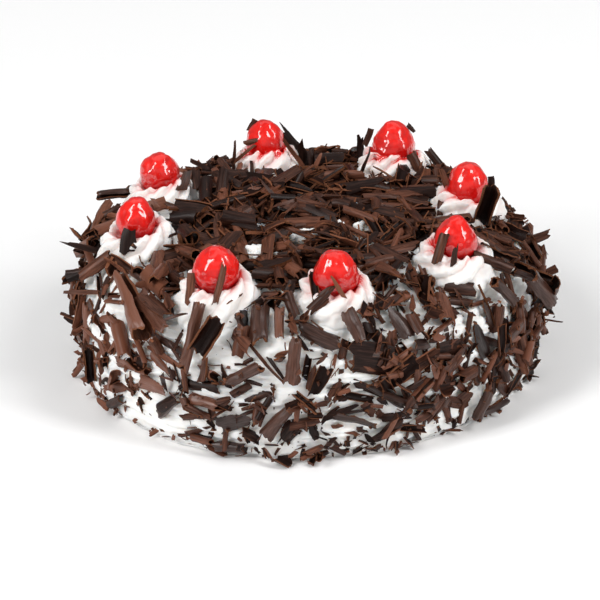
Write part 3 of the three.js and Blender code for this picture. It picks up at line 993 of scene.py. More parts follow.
def rolled_shaving(kind):
    """One shaving of a kind, lying along X with its hollow down."""
    ranges = {trait: limits for trait, limits in kind.items() if isinstance(limits, tuple)}
    look = {trait: rng.uniform(*limits) for trait, limits in ranges.items()}
    sheet, seed = flat_shaving(kind, look)
    edge_faces = {face for face in sheet.faces if abs(face.normal.z) < 0.5}
    # The hollow faces are painted darker by the material, as painted shade.
    hollow_faces = {face for face in sheet.faces if face.normal.z < -0.5}
    roll = math.radians(look["roll"])
    radius = look["width"] / roll
    winding = TURN_ROOM * look["thick"] * roll / (2 * math.pi) if roll > CLOSED_ROLL else 0
    for corner in sheet.verts:
        x, y, z = corner.co
        lump = look["lumps"] * noise.noise(Vector((x / 2.3, y / 3.5, seed + z)))
        bend = radius + z + lump - winding * (0.5 - y / look["width"])
        around = y / radius
        upright = bend * math.cos(around) - radius * math.cos(min(roll, math.pi) / 2)
        corner.co.y = bend * math.sin(around)
        corner.co.z = upright - look["bow"] * x * x
        twist = Matrix.Rotation(math.radians(look["twist"]) * x, 3, "X")
        corner.co = twist @ corner.co
    middle = sum((corner.co for corner in sheet.verts), Vector()) / len(sheet.verts)
    bmesh.ops.translate(sheet, vec=-middle, verts=sheet.verts[:])
    bmesh.ops.recalc_face_normals(sheet, faces=sheet.faces[:])
    return Form(sheet, edge_faces, hollow_faces)

# %% Crumbs, and all the forms
CORNER_REACH = (0.5, 1.15)
CORNER_SHIFT = 0.15
CRUMB_LONG, CRUMB_FLAT = 1.4, 0.7


def crumb():
    """A broken-off crumb, as a lump with a few faces."""
    lump = bmesh.new()
    bmesh.ops.create_cube(lump, size=1)
    for corner in lump.verts:
        size = rng.uniform(*CORNER_REACH)
        shift = Vector(rng.uniform(-CORNER_SHIFT, CORNER_SHIFT, 3))
        corner.co = corner.co * size + shift
        corner.co.x *= CRUMB_LONG
        corner.co.z *= CRUMB_FLAT
    return Form(lump, set(lump.faces[:3]))


forms = {}
for name, kind in KINDS.items():
    forms[name] = [rolled_shaving(kind) for _ in range(FORMS_PER_KIND)]
forms["crumbs"] = [crumb() for _ in range(FORMS_PER_KIND)]
for name, made in forms.items():
    print(f"{name}: {len(made)} forms of {len(made[0].faces)} faces")

# %% [markdown]
# The laid shavings of a kind become one mesh. Each copy's corners, faces and the numbers for the
# material are stacked into long arrays, which is far quicker than joining objects.

# %% Joining the laid shavings of a kind
laid = {name: [] for name in forms}


def joined(name, kind, rows):
    """One mesh of all the shavings of a kind that some rows describe."""
    corners, faces, grains, shades, cuts, insides = [], [], [], [], [], []
    count = 0
    for number, placed, size, shade in rows:
        form = forms[kind][number]
        own = form.corners * size
        corners.append(own @ placed[:3, :3].T + placed[:3, 3])
        faces.append(form.faces + count)
        grains.append(own + rng.uniform(0, 90, 3))
        shades.append(np.full(len(own), shade))
        cuts.append(np.repeat(form.cut, form.faces.shape[1]))
        insides.append(np.repeat(form.inside, form.faces.shape[1]))
        count += len(own)
    mesh = bpy.data.meshes.new(name)
    mesh.from_pydata(np.vstack(corners).tolist(), [], np.vstack(faces).tolist())
    stacked = [np.concatenate(numbers) for numbers in (shades, cuts, insides)]
    add_shaving_data(mesh, np.vstack(grains), *stacked)
    return mesh


def add_laid(prefix):
    """Makes a piece of each kind that has been laid since the last time."""
    for kind, rows in laid.items():
        if rows:
            name = f"{prefix}_{kind}"
            add_piece(name, joined(name, kind, rows), small_chocolate)
            rows.clear()

# %% [markdown]
# Some shavings have fallen against the fruit and the piping, or stick out of the rim, where each one
# changes the outline. These are placed one by one, by their two ends. A form is stretched to reach
# from one end to the other, and turned so that its outer side or its hollow is to the front.

# %% Shavings that lean on the fruit
FRONT = Vector((0, -0.9, 0.43))
# Each as its kind, its two ends and its width in millimetres, 1 or -1 for the outer side or the
# hollow to the front, and its shade of brown.
LEANING = [
    ("slabs", (-27, 84, 88), (-23, 86, 94), 4.5, 1, 0.5),
    ("flakes", (-30, 77, 84.5), (-22, 73.5, 88), 3.0, 1, 0.7),
    ("splinters", (-36, 72, 76), (-24, 73.5, 85.5), 2.0, 1, 0.8),
    ("splinters", (-36, 73, 71), (-34, 76, 87), 2.0, 1, 0.4),
    ("slabs", (3, 84, 70), (-13, 88, 90), 6.5, 1, 0.0),
    ("slabs", (0, 77, 68), (-1, 80, 85), 4.0, 1, 0.1),
    ("gutters", (5, 74, 68), (4, 78, 80), 4.0, 1, 0.2),
    ("splinters", (2, 72, 70), (-10, 74, 88), 2.5, 1, 0.8),
    ("splinters", (-26, 54, 71), (-26, 69, 78), 2.5, 1, 0.3),
    ("gutters", (-19, 57, 70), (-22, 63, 77), 4.5, -1, 0.2),
    ("rolls", (6, 76, 73.5), (22, 75, 74), 9.0, 1, 0.1),
    ("slabs", (-2, 78, 72), (11, 80, 75.5), 6.0, 1, 0.2),
    ("splinters", (4, 66, 70), (10, 72, 80), 2.5, 1, 0.9),
    ("slabs", (30, 76, 71), (30, 78, 87), 4.0, 1, 0.1),
    ("slabs", (32, 74, 82), (36, 76, 91), 3.5, 1, 0.4),
    ("splinters", (28, 57, 71), (36, 62, 86), 3.5, 1, 0.3),
    ("flakes", (54, 73, 94), (58, 71, 90), 2.5, 1, 0.2),
    ("gutters", (62, 57, 69), (55, 61, 83), 6.0, 1, 0.6),
    ("gutters", (76, 64, 66), (64, 70, 81), 4.5, 1, 0.3),
    ("rolls", (51, 62, 73), (50, 48, 75), 8.5, 1, 0.1),
    ("slabs", (62, 51, 68), (62, 54, 78), 6.0, 1, 0.9),
    ("slabs", (-87, -32, 73), (-85, -24, 84), 8.0, 1, 0.0),
    ("gutters", (-101, 22, 70), (-91, 24, 75), 5.0, 1, 0.4),
    ("slabs", (-104, -1, 73), (-90, 0, 77), 5.5, 1, 1.0),
    ("slabs", (-79, 20, 75), (-69, 24, 76), 7.0, 1, 1.0),
    ("gutters", (-56, -30, 71), (-59, -26, 84), 8.0, -1, 0.0),
    ("splinters", (-67, -22, 78), (-61, -20, 79), 1.5, 1, 0.3),
    ("slabs", (-76, -46, 68), (-56, -38, 72), 8.5, 1, 0.8),
    ("slabs", (93, 14, 81), (93, 15, 88), 3.5, 1, 0.1),
    ("gutters", (67, 4, 72), (68, 9, 79), 4.0, 1, 0.6),
    ("flakes", (71, 12, 84), (68, 13.8, 93.5), 3.5, 1, 0.8),
    ("gutters", (61, -62, 76), (66, -56, 90), 5.0, 1, 0.6),
    ("slabs", (69, -65, 76), (71, -59, 86), 3.0, 1, 0.3),
    ("rolls", (78, -54, 77), (98, -55, 69), 6.0, 1, 0.4),
    ("splinters", (-58, 71, 79), (-48, 68, 75), 2.5, 1, 0.3),
    ("gutters", (84, -22, 74), (101, -24, 69), 5.5, 1, 0.5),
    ("gutters", (83, -47, 79), (97, -34, 64), 4.5, -1, 0.3),
    ("gutters", (-44, -92, 73), (-38, -83, 91), 3.5, 1, 0.8),
    ("slabs", (-56, -87, 71), (-54, -78, 84), 4.5, 1, 0.8),
    ("splinters", (-37, -94, 65), (-28, -89, 70), 1.5, 1, 0.8),
    ("gutters", (4, -96, 74), (2, -82, 85), 4.0, -1, 0.3),
    ("flakes", (4, -96, 77), (13, -94, 82), 3.5, 1, 0.5),
    ("splinters", (17, -97, 76), (11, -93, 87), 2.5, 1, 1.1),
    ("flakes", (2, -97, 71), (10, -96, 76), 3.0, 1, 0.6),
    ("slabs", (-11, -85, 69), (-7, -78, 78), 4.5, 1, 0.2),
    ("gutters", (-6, -95, 66), (-10, -86, 76), 5.5, 1, 0.5),
    ("splinters", (-98, -14, 66.5), (-121, -10, 72), 3.5, 1, 0.2),
    ("rolls", (-103, -24, 62), (-118, -20, 59), 4.5, 1, 0.3),
    ("splinters", (-100, -38, 57), (-119, -26, 52), 2.5, 1, 0.7),
    ("gutters", (-101, -47, 46), (-93, -60, 53), 5.0, 1, 2.2),
    ("splinters", (109, -6, 20), (127, -6, 16), 1.2, 1, 0.5),
    ("gutters", (104, 0, 57), (122, 3, 61), 5.0, 1, 0.5),
    ("slabs", (110, -10, 41), (124, -8, 47), 4.5, 1, 0.6),
]


def leaning(kind, number, start, end, width, facing, shade):
    """The row that lays a form of a kind from one place to another."""
    form = forms[kind][number % FORMS_PER_KIND]
    low, high = Vector(form.corners.min(axis=0)), Vector(form.corners.max(axis=0))
    along = Vector(end) - Vector(start)
    out = (FRONT - FRONT.project(along)).normalized() * facing
    side = out.cross(along).normalized()
    wider = width / (high.y - low.y)
    longer = along.length / (high.x - low.x)
    stretched = (along.normalized() * longer, side * wider, out * wider)
    placed = Matrix(stretched).transposed().to_4x4()
    placed.translation = (Vector(start) + Vector(end)) / 2 - placed @ ((low + high) / 2)
    return number % FORMS_PER_KIND, np.array(placed), 1.0, shade


for number, (kind, *rest) in enumerate(LEANING):
    laid[kind].append(leaning(kind, number, *rest))
add_laid("leaning")
print(len(LEANING), "shavings lean on the fruit or stick out of the rim")

# %% [markdown]
# The heap on the top lies on a packed bed of older shavings. That bed is one dark lumpy solid that
# stands for the imported model's plain heap, and is lower, so that the real shavings have room on it.
# Its near black is partly chocolate and partly painted shade of the deep gaps in the heap.
# It is spun like the cake and roughened. It dips under the cream round the rosettes, and in a few
# spots where the cream shows.

# %% The imported bed under the heap
BED_RADIUS = 76.0
BED_STEPS, BED_SIDES = 40, 150
BED_RISE = 1.0  # how far the bed stands above the cream
BED_DIP = 1.6  # how far it dips below the cream at its edge
BED_ROOT = 4.0  # how deep it goes into the cake
BED_LUMPS = 7
PIPING_NEAR, PIPING_FAR = 16, 27  # the bed rises between these distances from a rosette's middle
EDGE_FROM = 60
SPOT_DIP = 4
# The bed's brown is nearly the darkest: chocolate, and painted shade of the gaps in the heap.
BED_BROWN_AND_SHADE, BED_CUT = 0.05, 0.2
# Spots where the cream shows between the shavings, as (x, y, radius).
SHOWING_SPOTS = [
    (0, -18, 5), (-9, 25, 3), (24, 9, 2.5), (16, -12, 3), (-24, -35, 5), (27, -14, 3),
]
rosette_middles = []
for number in range(1, ROSETTE_COUNT + 1):
    low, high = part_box(f"rosette_{number}")
    rosette_middles.append((low + high) / 2 / MM)
radii = np.linspace(BED_RADIUS, 0, BED_STEPS)
profile = [(0, cream_height(0) - BED_ROOT), (BED_RADIUS, cream_height(BED_RADIUS) - BED_ROOT)]
profile += [(radius, cream_height(radius)) for radius in radii]
bed = spun(profile, BED_SIDES)
for corner in bed.verts:
    radius = math.hypot(corner.co.x, corner.co.y)
    if corner.co.z < cream_height(radius) - BED_ROOT / 2:
        continue
    nearest = min((corner.co.xy - middle.xy).length for middle in rosette_middles)
    clear = soft_step(PIPING_NEAR, PIPING_FAR, nearest)
    clear *= 1 - soft_step(EDGE_FROM, BED_RADIUS, radius)
    lump = noise.fractal(corner.co / BED_LUMPS, 0.6, 2.0, 3)
    corner.co.z += (BED_RISE + BED_DIP) * clear - BED_DIP + lump * clear
    for x, y, wide in SHOWING_SPOTS:
        away = math.hypot(corner.co.x - x, corner.co.y - y)
        corner.co.z -= SPOT_DIP * (1 - soft_step(wide - 1, wide + 2, away))
points = np.array([corner.co for corner in bed.verts])
mesh = mesh_of("packed_shavings", bed)
shade = np.full(len(points), BED_BROWN_AND_SHADE)
cut = np.full(len(mesh.loops), BED_CUT)
add_shaving_data(mesh, points, shade, cut, inside=np.zeros(len(mesh.loops)))
add_piece("packed_shavings", mesh, small_chocolate, ["shavings_blanket"])

# %% [markdown]
# Shavings are laid one at a time, each on what is already there. Simulating so many thin rolled
# sheets would take far too long, and a plain scatter would sink them into each other. So the cream
# is mapped in cells of a millimetre that hold how high things stand there. A shaving is tilted to
# the slope under it, lowered until it touches, and pressed in a little. Its own height is then
# written into the map, and the next one can lie on it. The top has a map on X and Y, and the side
# has one that is wrapped round the cake, on azimuth and run.

# %% Maps of what lies on the cream
CELL = 1.0
FEEL_FROM = 40.0  # how far outside the cream the rays start that feel what lies there
CREAM, ROSETTE, CHERRY, CURL, SHAVING, CLEAR = range(6)
OWNERS = {
    "piped": ROSETTE, "glazed": CHERRY, "chocolate": CURL, "leaning": CURL, "packed": SHAVING,
}


class GroundMap:
    """How high things stand above the even cream in each cell, and what they are."""

    def __init__(self, u_low, u_high, v_low, v_high, place, stretch, down, wraps):
        self.u_low, self.v_low = u_low, v_low
        self.size = (round((u_high - u_low) / CELL), round((v_high - v_low) / CELL))
        self.place, self.stretch, self.down, self.wraps = place, stretch, down, wraps
        self.height = np.zeros(self.size)
        self.owner = np.zeros(self.size, int)
        self.covered = np.zeros(self.size)

    def feel(self):
        """Measures from outside what the pieces made so far leave in each cell."""
        bpy.context.view_layer.update()
        depsgraph = bpy.context.evaluated_depsgraph_get()
        for i in range(self.size[0]):
            for j in range(self.size[1]):
                spot = self.place(self.u_low + (i + 0.5) * CELL, self.v_low + (j + 0.5) * CELL)
                outwards = spot.col[2].xyz
                start = (spot.translation + outwards * FEEL_FROM) * MM
                hit, point, _, _, piece, _ = bpy.context.scene.ray_cast(
                    depsgraph, start, -outwards, distance=2 * FEEL_FROM * MM
                )
                if hit:
                    self.height[i, j] = FEEL_FROM - (point - start).length / MM
                    self.owner[i, j] = OWNERS.get(piece.name.split("_")[0], CREAM)
        self.covered = (self.owner >= CURL).astype(float)

    def cells(self, u, v, offsets):
        """The cells below points at some offsets from a place."""
        i = ((u + offsets[:, 0] * self.stretch(v) - self.u_low) // CELL).astype(int)
        j = ((v + offsets[:, 1] * self.down - self.v_low) // CELL).astype(int)
        i = i % self.size[0] if self.wraps else i.clip(0, self.size[0] - 1)
        return i, j.clip(0, self.size[1] - 1)

# %% The two maps
def top_place(x, y):
    """The upright frame of a place on the top."""
    return Matrix.Translation((x, y, cream_height(math.hypot(x, y))))


def side_place(u, run):
    """The frame of a place on the side: level, up the side and outwards."""
    azimuth = u / WIDEST
    radius, height, out_radius, out_height = on_outline(run)
    around = Vector((math.cos(azimuth), math.sin(azimuth), 0))
    outwards = (around * out_radius + Vector((0, 0, out_height))).normalized()
    level = Vector((0, 0, 1)).cross(around)
    climb = outwards.cross(level)
    spot = Matrix((level, climb, outwards)).transposed().to_4x4()
    spot.translation = around * radius + Vector((0, 0, height))
    return spot


def side_stretch(run):
    """How much the map, as wide as the cake at its widest, stretches what is level at a run."""
    return WIDEST / on_outline(run)[0]


TOP_REACH = 84.0
SIDE_FROM = 78.0
SIDE_TO = RUN_END - 2
TURN = 2 * math.pi * WIDEST
top_map = GroundMap(-TOP_REACH, TOP_REACH, -TOP_REACH, TOP_REACH, top_place, lambda v: 1.0, 1, False)
side_map = GroundMap(0, TURN, SIDE_FROM, SIDE_TO, side_place, side_stretch, -1, True)
top_map.feel()
print("cells on the top:", top_map.size, "highest", round(top_map.height.max(), 1), "mm")

# %% [markdown]
# Now the laying itself. Each shaving has points all over it, its feelers. They say which cells lie
# below it, how steep the ground is there and how far the shaving can come down. When it has come
# down, its own height goes into the map.

# %% How a shaving comes down
MOST_SLOPE = 0.75
LOWERED_UNTIL = 92  # the share of the feelers, in percent, that must be clear of the ground


def slopes(points, heights):
    """How steeply the heights rise along X and along Y below some points."""
    steep = []
    for axis in (0, 1):
        way = points[:, axis] - points[:, axis].mean()
        steep.append(float((way * (heights - heights.mean())).sum() / max((way * way).sum(), 1)))
    return np.clip(steep, -MOST_SLOPE, MOST_SLOPE)


def turned(turn, stand, roll):
    """The rotation of a shaving: rolled about its length, far end raised, turned on the cream."""
    raised = Matrix.Rotation(turn, 3, "Z") @ Matrix.Rotation(-stand, 3, "Y")
    return raised @ Matrix.Rotation(roll, 3, "X")


def settled(ground, form, size, u, v, turn, stand, roll, press):
    """A shaving's placement once it has come down, the cells below it and its height over them."""
    feelers = form.feelers * size
    flat = feelers @ np.array(turned(0, 0, roll)).T
    below = ground.cells(u, v, flat @ np.array(Matrix.Rotation(turn, 3, "Z")).T)
    along, across = slopes(flat, ground.height[below])
    rotation = turned(turn, math.atan(along) + stand, math.atan(across) + roll)
    points = feelers @ np.array(rotation).T
    below = ground.cells(u, v, points)
    lift = np.percentile(ground.height[below] - points[:, 2], LOWERED_UNTIL) - press
    spot = ground.place(u, v) @ Matrix.Translation((0, 0, lift)) @ rotation.to_4x4()
    return np.array(spot), below, points[:, 2] + lift


def keep(ground, kind, number, placed, size, shade, below, tops, owner):
    """Keeps a shaving where it lies, and writes it into the map."""
    np.maximum.at(ground.height, below, tops)
    ground.covered[below] = 1
    ground.owner[below] = owner
    laid[kind].append((number, placed, size, shade))

# %% [markdown]
# Each shaving has its own brown. It comes from chance, with one in four much paler, from how high
# the shaving lies, the lower ones painted darker as painted shade, and from where it is: the heap is
# darker, and those on the left and right of the side, which face the two side soft boxes, are painted
# paler as painted light.

# %% How brown a shaving is
OWN_BROWN = (-0.15, 0.5)
PALE_ONES = (0.0, 0.0, 0.0, 0.32)
HIGH = 9.0  # a shaving that reaches this high lies on top and is painted at its lightest; lower ones get painted shade
# Lower shavings are painted darker by up to this much, as painted shade.
DEPTH_PAINTED_SHADE = 0.45
DARKER_IN_HEAP = 0.12
RIM = (84, 104)  # between these distances from the axis the heap becomes the side
PAINTED_LIT_SIDES = [(213, 22, 0.55), (330, 20, 0.1)]  # painted light on the sides facing the two side soft boxes: azimuth in degrees, how wide a part, how much paler


def paler(placed):
    """How much paler a shaving is for its place: painted light on the sides that face the side soft
    boxes, and darker in the heap.
    """
    azimuth = math.degrees(math.atan2(placed[1, 3], placed[0, 3])) % 360
    outside = soft_step(*RIM, math.hypot(placed[0, 3], placed[1, 3]))
    painted_light = sum(
        much * math.exp(-(((azimuth - middle) / wide) ** 2)) for middle, wide, much in PAINTED_LIT_SIDES
    )
    return outside * painted_light - DARKER_IN_HEAP * (1 - outside)


def brown_of(placed, highest):
    """The brown of a shaving that is laid by chance."""
    height_share = min(max(highest / HIGH, 0), 1)
    own = rng.uniform(*OWN_BROWN) + rng.choice(PALE_ONES)
    return own + DEPTH_PAINTED_SHADE * height_share + paler(placed)

# %% [markdown]
# A shaving has to touch with a fair share of its feelers, or it would hang in the air. One that
# would cover a cherry, stand in the floor or hide too much piping is left out and the next is tried,
# as a baker brushes a stray one off.

# %% Laying a shaving
FLOOR_CLEARANCE = 0.25
TOUCHING = 1.2
ON_CHERRY, ON_SPOT = 0.03, 0.1  # the shares of a shaving that may hide a cherry or a bare spot
HIDES = (0.3, 0.22)  # and those that may hide the piping and the large curls


def lay(ground, kind, u, v, turn, stand, roll, size, press, most, steady=0.25, hides=HIDES):
    """Lays one shaving on the ground of a map, or leaves it out where it doesn't belong."""
    number = int(rng.integers(len(forms[kind])))
    form = forms[kind][number]
    placed, below, tops = settled(ground, form, size, u, v, turn, stand, roll, press)
    owners = ground.owner[below]
    if (owners == CHERRY).mean() > ON_CHERRY or (owners == CLEAR).mean() > ON_SPOT:
        return
    if (owners == ROSETTE).mean() > hides[0] or (owners == CURL).mean() > hides[1]:
        return
    if tops.max() > most or (tops - ground.height[below] < TOUCHING).mean() < steady:
        return
    if (form.feelers * size @ placed[2, :3] + placed[2, 3]).min() < FLOOR_CLEARANCE:
        return
    brown = brown_of(placed, tops.max())
    keep(ground, kind, number, placed, size, brown, below, tops, SHAVING)

# %% [markdown]
# The shavings that catch the eye are laid one by one instead. Their length, width, turn and brown are
# given, and they come down on whatever lies there. Solid ones get no more than half as thick again
# when they are made wider. One with its hollow up is hardly pressed in, or the cream would come
# through its floor.

# %% Laying a listed shaving
HAND_PRESS = 0.8
HOLLOW_UP_PRESS = 0.1
THICKEST = 1.5
SOLID_KINDS = ("slabs", "flakes", "splinters")


def lay_by_hand(ground, kind, u, v, length, width, turn, stand, side, brown):
    """Lays one shaving. The side is 1 or -1 for its outer side or its hollow outwards."""
    number = int(rng.integers(len(forms[kind])))
    form = forms[kind][number]
    long, wide, _ = np.ptp(form.corners, axis=0)
    size = np.array([length / long, width / wide, width / wide])
    if kind in SOLID_KINDS:
        size[2] = min(size[2], THICKEST)
    roll = 0 if side > 0 else math.pi
    turns = (math.radians(turn), math.radians(stand), roll)
    press = HAND_PRESS if side > 0 else HOLLOW_UP_PRESS
    placed, below, tops = settled(ground, form, size, u, v, *turns, press)
    lowest = (form.feelers * size @ placed[2, :3] + placed[2, 3]).min()
    if lowest < FLOOR_CLEARANCE:
        placed[2, 3] += FLOOR_CLEARANCE - lowest
    # Half of the painted light of its place is added to its given brown.
    keep(ground, kind, number, placed, size, brown + paler(placed) / 2, below, tops, CURL)

# %% [markdown]
# Most shavings fall flat, some come to lean on others, and a few stand up. The more one stands, the
# deeper it is pressed in, the higher it may reach and the less of it has to touch.

# %% How shavings fall
STANDING_ANGLES, STANDING_PRESS, STANDING_REACH = (40, 70), 2.2, 4
LEANING_ANGLES, LEANING_PRESS, LEANING_REACH = (10, 36), 1.2, 2.5
FLAT_ANGLES, FLAT_PRESS = (-7, 7), (0.2, 0.9)
FACING_SHARES = {0: 0.5, 180: 0.24, 90: 0.13, -90: 0.13}  # hollow down, up or to the side
FACING_SPREAD = 25
STANDING_SIZE = 0.85


def pick(choices):
    """One key of a table of shares."""
    names = list(choices)
    shares = np.array([choices[name] for name in names], float)
    return names[int(rng.choice(len(names), p=shares / shares.sum()))]


def facing():
    """How far a shaving is rolled about its length."""
    return math.radians(pick(FACING_SHARES) + rng.uniform(-FACING_SPREAD, FACING_SPREAD))


def lay_somehow(ground, kind, u, v, size, most, stand_share=0.07, lean_share=0.3):
    """Lays a shaving standing, leaning or flat, by the shares of the first two."""
    chance = rng.uniform()
    turn = rng.uniform(0, 2 * math.pi)
    if chance < stand_share:
        stand = math.radians(rng.uniform(*STANDING_ANGLES))
        size, most = size * STANDING_SIZE, most + STANDING_REACH
        return lay(ground, kind, u, v, turn, stand, facing(), size, STANDING_PRESS, most, steady=0.06)
    if chance < stand_share + lean_share:
        stand = math.radians(rng.uniform(*LEANING_ANGLES))
        most = most + LEANING_REACH
        return lay(ground, kind, u, v, turn, stand, facing(), size, LEANING_PRESS, most, steady=0.1)
    stand, roll = math.radians(rng.uniform(*FLAT_ANGLES)), facing()
    press = rng.uniform(*FLAT_PRESS)
    return lay(ground, kind, u, v, turn, stand, roll, size, press, most, steady=0.18)

# %% [markdown]
# The heap on the top is laid first, in rounds: middling pieces, the largest ones between and on
# them, then small ones. It is lower beside the piping, and a slow noise makes it uneven. A few spots
# are kept free for the cream.

# %% Laying the heap on the top
HEAP_RADIUS = 76.0
HEAP_MIX = {
    "scrolls": 0.1, "rolls": 0.2, "gutters": 0.45, "slabs": 0.08, "flakes": 0.1, "splinters": 0.07,
}
# The rounds of the top as (tries, smallest and largest size, how much higher than the first layer).
HEAP_ROUNDS = [(700, 0.7, 1.0, 0.0), (1700, 1.0, 1.65, 4.8), (150, 0.5, 0.9, 4.0)]
SLENDER = np.array([1.2, 0.85, 0.85])  # longer and thinner than on the side
LOWEST, HIGHER = 2.4, 3.4  # how high the heap may reach beside the piping, and how much more inside
UNEVEN, UNEVEN_PATCH = 2.5, 16
MOST_STANDING, MOST_LEANING = 0.14, 0.45  # the shares of them well away from the piping
BESIDE, WELL_AWAY = 17, 33


def away_from_piping(x, y):
    """0 beside a rosette and 1 well away from it."""
    nearest = min(math.hypot(x - middle.x, y - middle.y) for middle in rosette_middles)
    return soft_step(BESIDE, WELL_AWAY, nearest)


def in_showing_spot(x, y):
    """Whether a place lies in one of the spots where the cream shows."""
    return any(math.hypot(x - a, y - b) < radius for a, b, radius in SHOWING_SPOTS)


for x, y, wide in SHOWING_SPOTS:
    for i, j in np.ndindex(top_map.size):
        if math.hypot(i + 0.5 - TOP_REACH - x, j + 0.5 - TOP_REACH - y) < wide:
            top_map.owner[i, j] = CLEAR
for tries, smallest, largest, more in HEAP_ROUNDS:
    for _ in range(tries):
        radius = HEAP_RADIUS * math.sqrt(rng.uniform())
        azimuth = rng.uniform(0, 2 * math.pi)
        x, y = radius * math.cos(azimuth), radius * math.sin(azimuth)
        size = rng.uniform(smallest, largest) * SLENDER
        free = away_from_piping(x, y)
        uneven = UNEVEN * noise.noise(Vector((x / UNEVEN_PATCH, y / UNEVEN_PATCH, 3)))
        most = LOWEST + free * (HIGHER + uneven + more)
        if not in_showing_spot(x, y):
            shares = (MOST_STANDING * free, MOST_LEANING * free)
            lay_somehow(top_map, pick(HEAP_MIX), x, y, size, most, *shares)
print("laid on the top:", {name: len(rows) for name, rows in laid.items()})

# %% [markdown]
# The shavings that lie uppermost are the ones that are seen. They are laid one by one on the finished
# heap, with their outer side up.

# %% The uppermost shavings of the heap
# Each as its kind, its place on X and Y, its length and width in millimetres, its turn, how far its
# far end is raised, and its brown.
TOPMOST = [
    ("slabs", -9, 40, 21, 7, 40, 6, 0.5),
    ("slabs", 13, 41, 24, 7, 47, 3, 0.2),
    ("slabs", 35, 37, 23, 4.5, 159, 0, 0.55),
    ("gutters", 30, 27, 23, 8, 4, 5, 0.12),
    ("gutters", 13, 17, 19, 3.5, 2, 0, 0.5),
    ("gutters", 38, 14, 20, 4, 9, 0, 0.65),
    ("gutters", 55, 10, 19, 3.5, 144, 0, 0.5),
    ("slabs", -15, -59, 15, 9, 27, 0, 0.25),
    ("slabs", -12, -41, 10, 5.5, 140, 0, 1),
    ("splinters", -6, -49, 15, 2.5, 130, 7, 0.7),
    ("slabs", -27, -45, 15, 4.5, 148, 0, 0.2),
    ("slabs", -29, -20, 16, 4, 154, 0, 0.1),
    ("slabs", -13, -16, 17, 4.5, 140, 0, 0.45),
    ("gutters", 41, -50, 21, 6.5, 152, 0, 0.4),
    ("splinters", 43, -21, 14, 1.8, 53, 10, 0.85),
    ("splinters", 49, -24, 15, 2, 135, 1, 0.7),
    ("slabs", 34, -27, 11, 3, 21, 0, 0.6),
    ("splinters", 34, -70, 15, 2, 68, 21, 0.7),
    ("slabs", 41, -74, 14, 3, 141, 0, 0.3),
    ("slabs", 58, -85, 15, 3.5, 134, 0, 0.4),
    ("slabs", -57, 6, 19, 6, 144, 0, 0.2),
    ("gutters", -39, 16, 21, 4, 22, 0, 0.25),
    ("rolls", -32, -14, 19, 7.5, 165, 4, 0.3),
    ("slabs", -28, -8, 20, 4.5, 141, 0, 0.4),
    ("rolls", -11, 12, 15, 4.5, 14, 0, 0.12),
    ("splinters", -6, 3, 25, 2, 50, 7, 0.6),
    ("splinters", -16, 23, 21, 2.2, 130, 8, 0.55),
    ("slabs", 8, -5, 23, 5, 140, 0, 0.3),
    ("rolls", 18, 6, 10, 5, 161, 0, 0.4),
    ("slabs", 41, -4, 23, 7, 143, 0, 0.35),
    ("gutters", -50, 32, 20, 7, 88, 30, 0.15),
    ("gutters", -41, 34, 18, 6, 80, 28, 0.3),
    ("slabs", -60, 37, 14, 6, 70, 30, 0.5),
    ("slabs", -54, 40, 13, 5, 95, 32, 0.35),
    ("gutters", -60, 2, 15, 8, 165, 8, 0.15),
    ("slabs", -48, -5, 20, 5, 40, 6, 0.35),
    ("rolls", -57, -26, 13, 8, 115, 18, 0.3),
    ("slabs", -34, 51, 14, 7, 6, 0, 0.3),
    ("gutters", -27, 34, 16, 3.5, 47, 4, 0.25),
    ("splinters", -34, -30, 17, 1.8, 126, 12, 0.65),
]

for kind, x, y, length, width, turn, raised, brown in TOPMOST:
    lay_by_hand(top_map, kind, x, y, length, width, turn, raised, 1, brown)
print(len(TOPMOST), "shavings lie uppermost")
OWNERS["heaped"] = SHAVING
add_laid("heaped")

# %% [markdown]
# In a few gaps of the heap the cream stands up between the shavings. Each of these dabs is a sphere
# that is pulled ragged by noise. It is sunk into the cake and reaches nearly to the heap's top.

# %% The cream between the heaped shavings
DAB_LEVELS = 5
DAB_RISE = 68  # the share of the heap round a dab that lies lower than it, in percent
DAB_MARGIN = 4
DAB_LONG, DAB_DEEP = 1.6, 1.1  # how far it goes past its spot, along X and along Y
dabs = bmesh.new()
for x, y, wide in SHOWING_SPOTS:
    i, j = int(x + TOP_REACH), int(y + TOP_REACH)
    reach = int(wide) + DAB_MARGIN
    nearby = top_map.height[i - reach : i + reach + 1, j - reach : j + reach + 1]
    rise = float(np.percentile(nearby, DAB_RISE))
    made = bmesh.ops.create_icosphere(dabs, subdivisions=DAB_LEVELS, radius=1)["verts"]
    for corner in made:
        way = corner.co.copy()
        ragged = 1 + 0.5 * noise.noise(way * 1.6 + Vector((x, y, 0)))
        ragged += 0.25 * noise.noise(way * 4.5 + Vector((y, x, 0)))
        level_x, level_y = way.x * wide * DAB_LONG * ragged, way.y * wide * DAB_DEEP * ragged
        corner.co = Vector((level_x, level_y, way.z * rise))
        corner.co.z *= 0.6 + 0.4 * ragged
        corner.co += Vector((x, y, cream_height(math.hypot(x, y))))
add_piece("cream_dabs", mesh_of("cream_dabs", dabs), cake_cream)

# %% [markdown]
# The side is covered by hand: the baker presses shavings against the wet cream. They lie thickest
# at the shoulder and on the right, and thin out towards the foot at the front left, where the
# cream shows most. A wish for each place says how much of it should be covered. It is blended from
# a table of the wished cover by azimuth and run, and less in patches of bare cream.

# %% How much of the side is to be covered
side_map.feel()
print("cells on the side:", side_map.size)
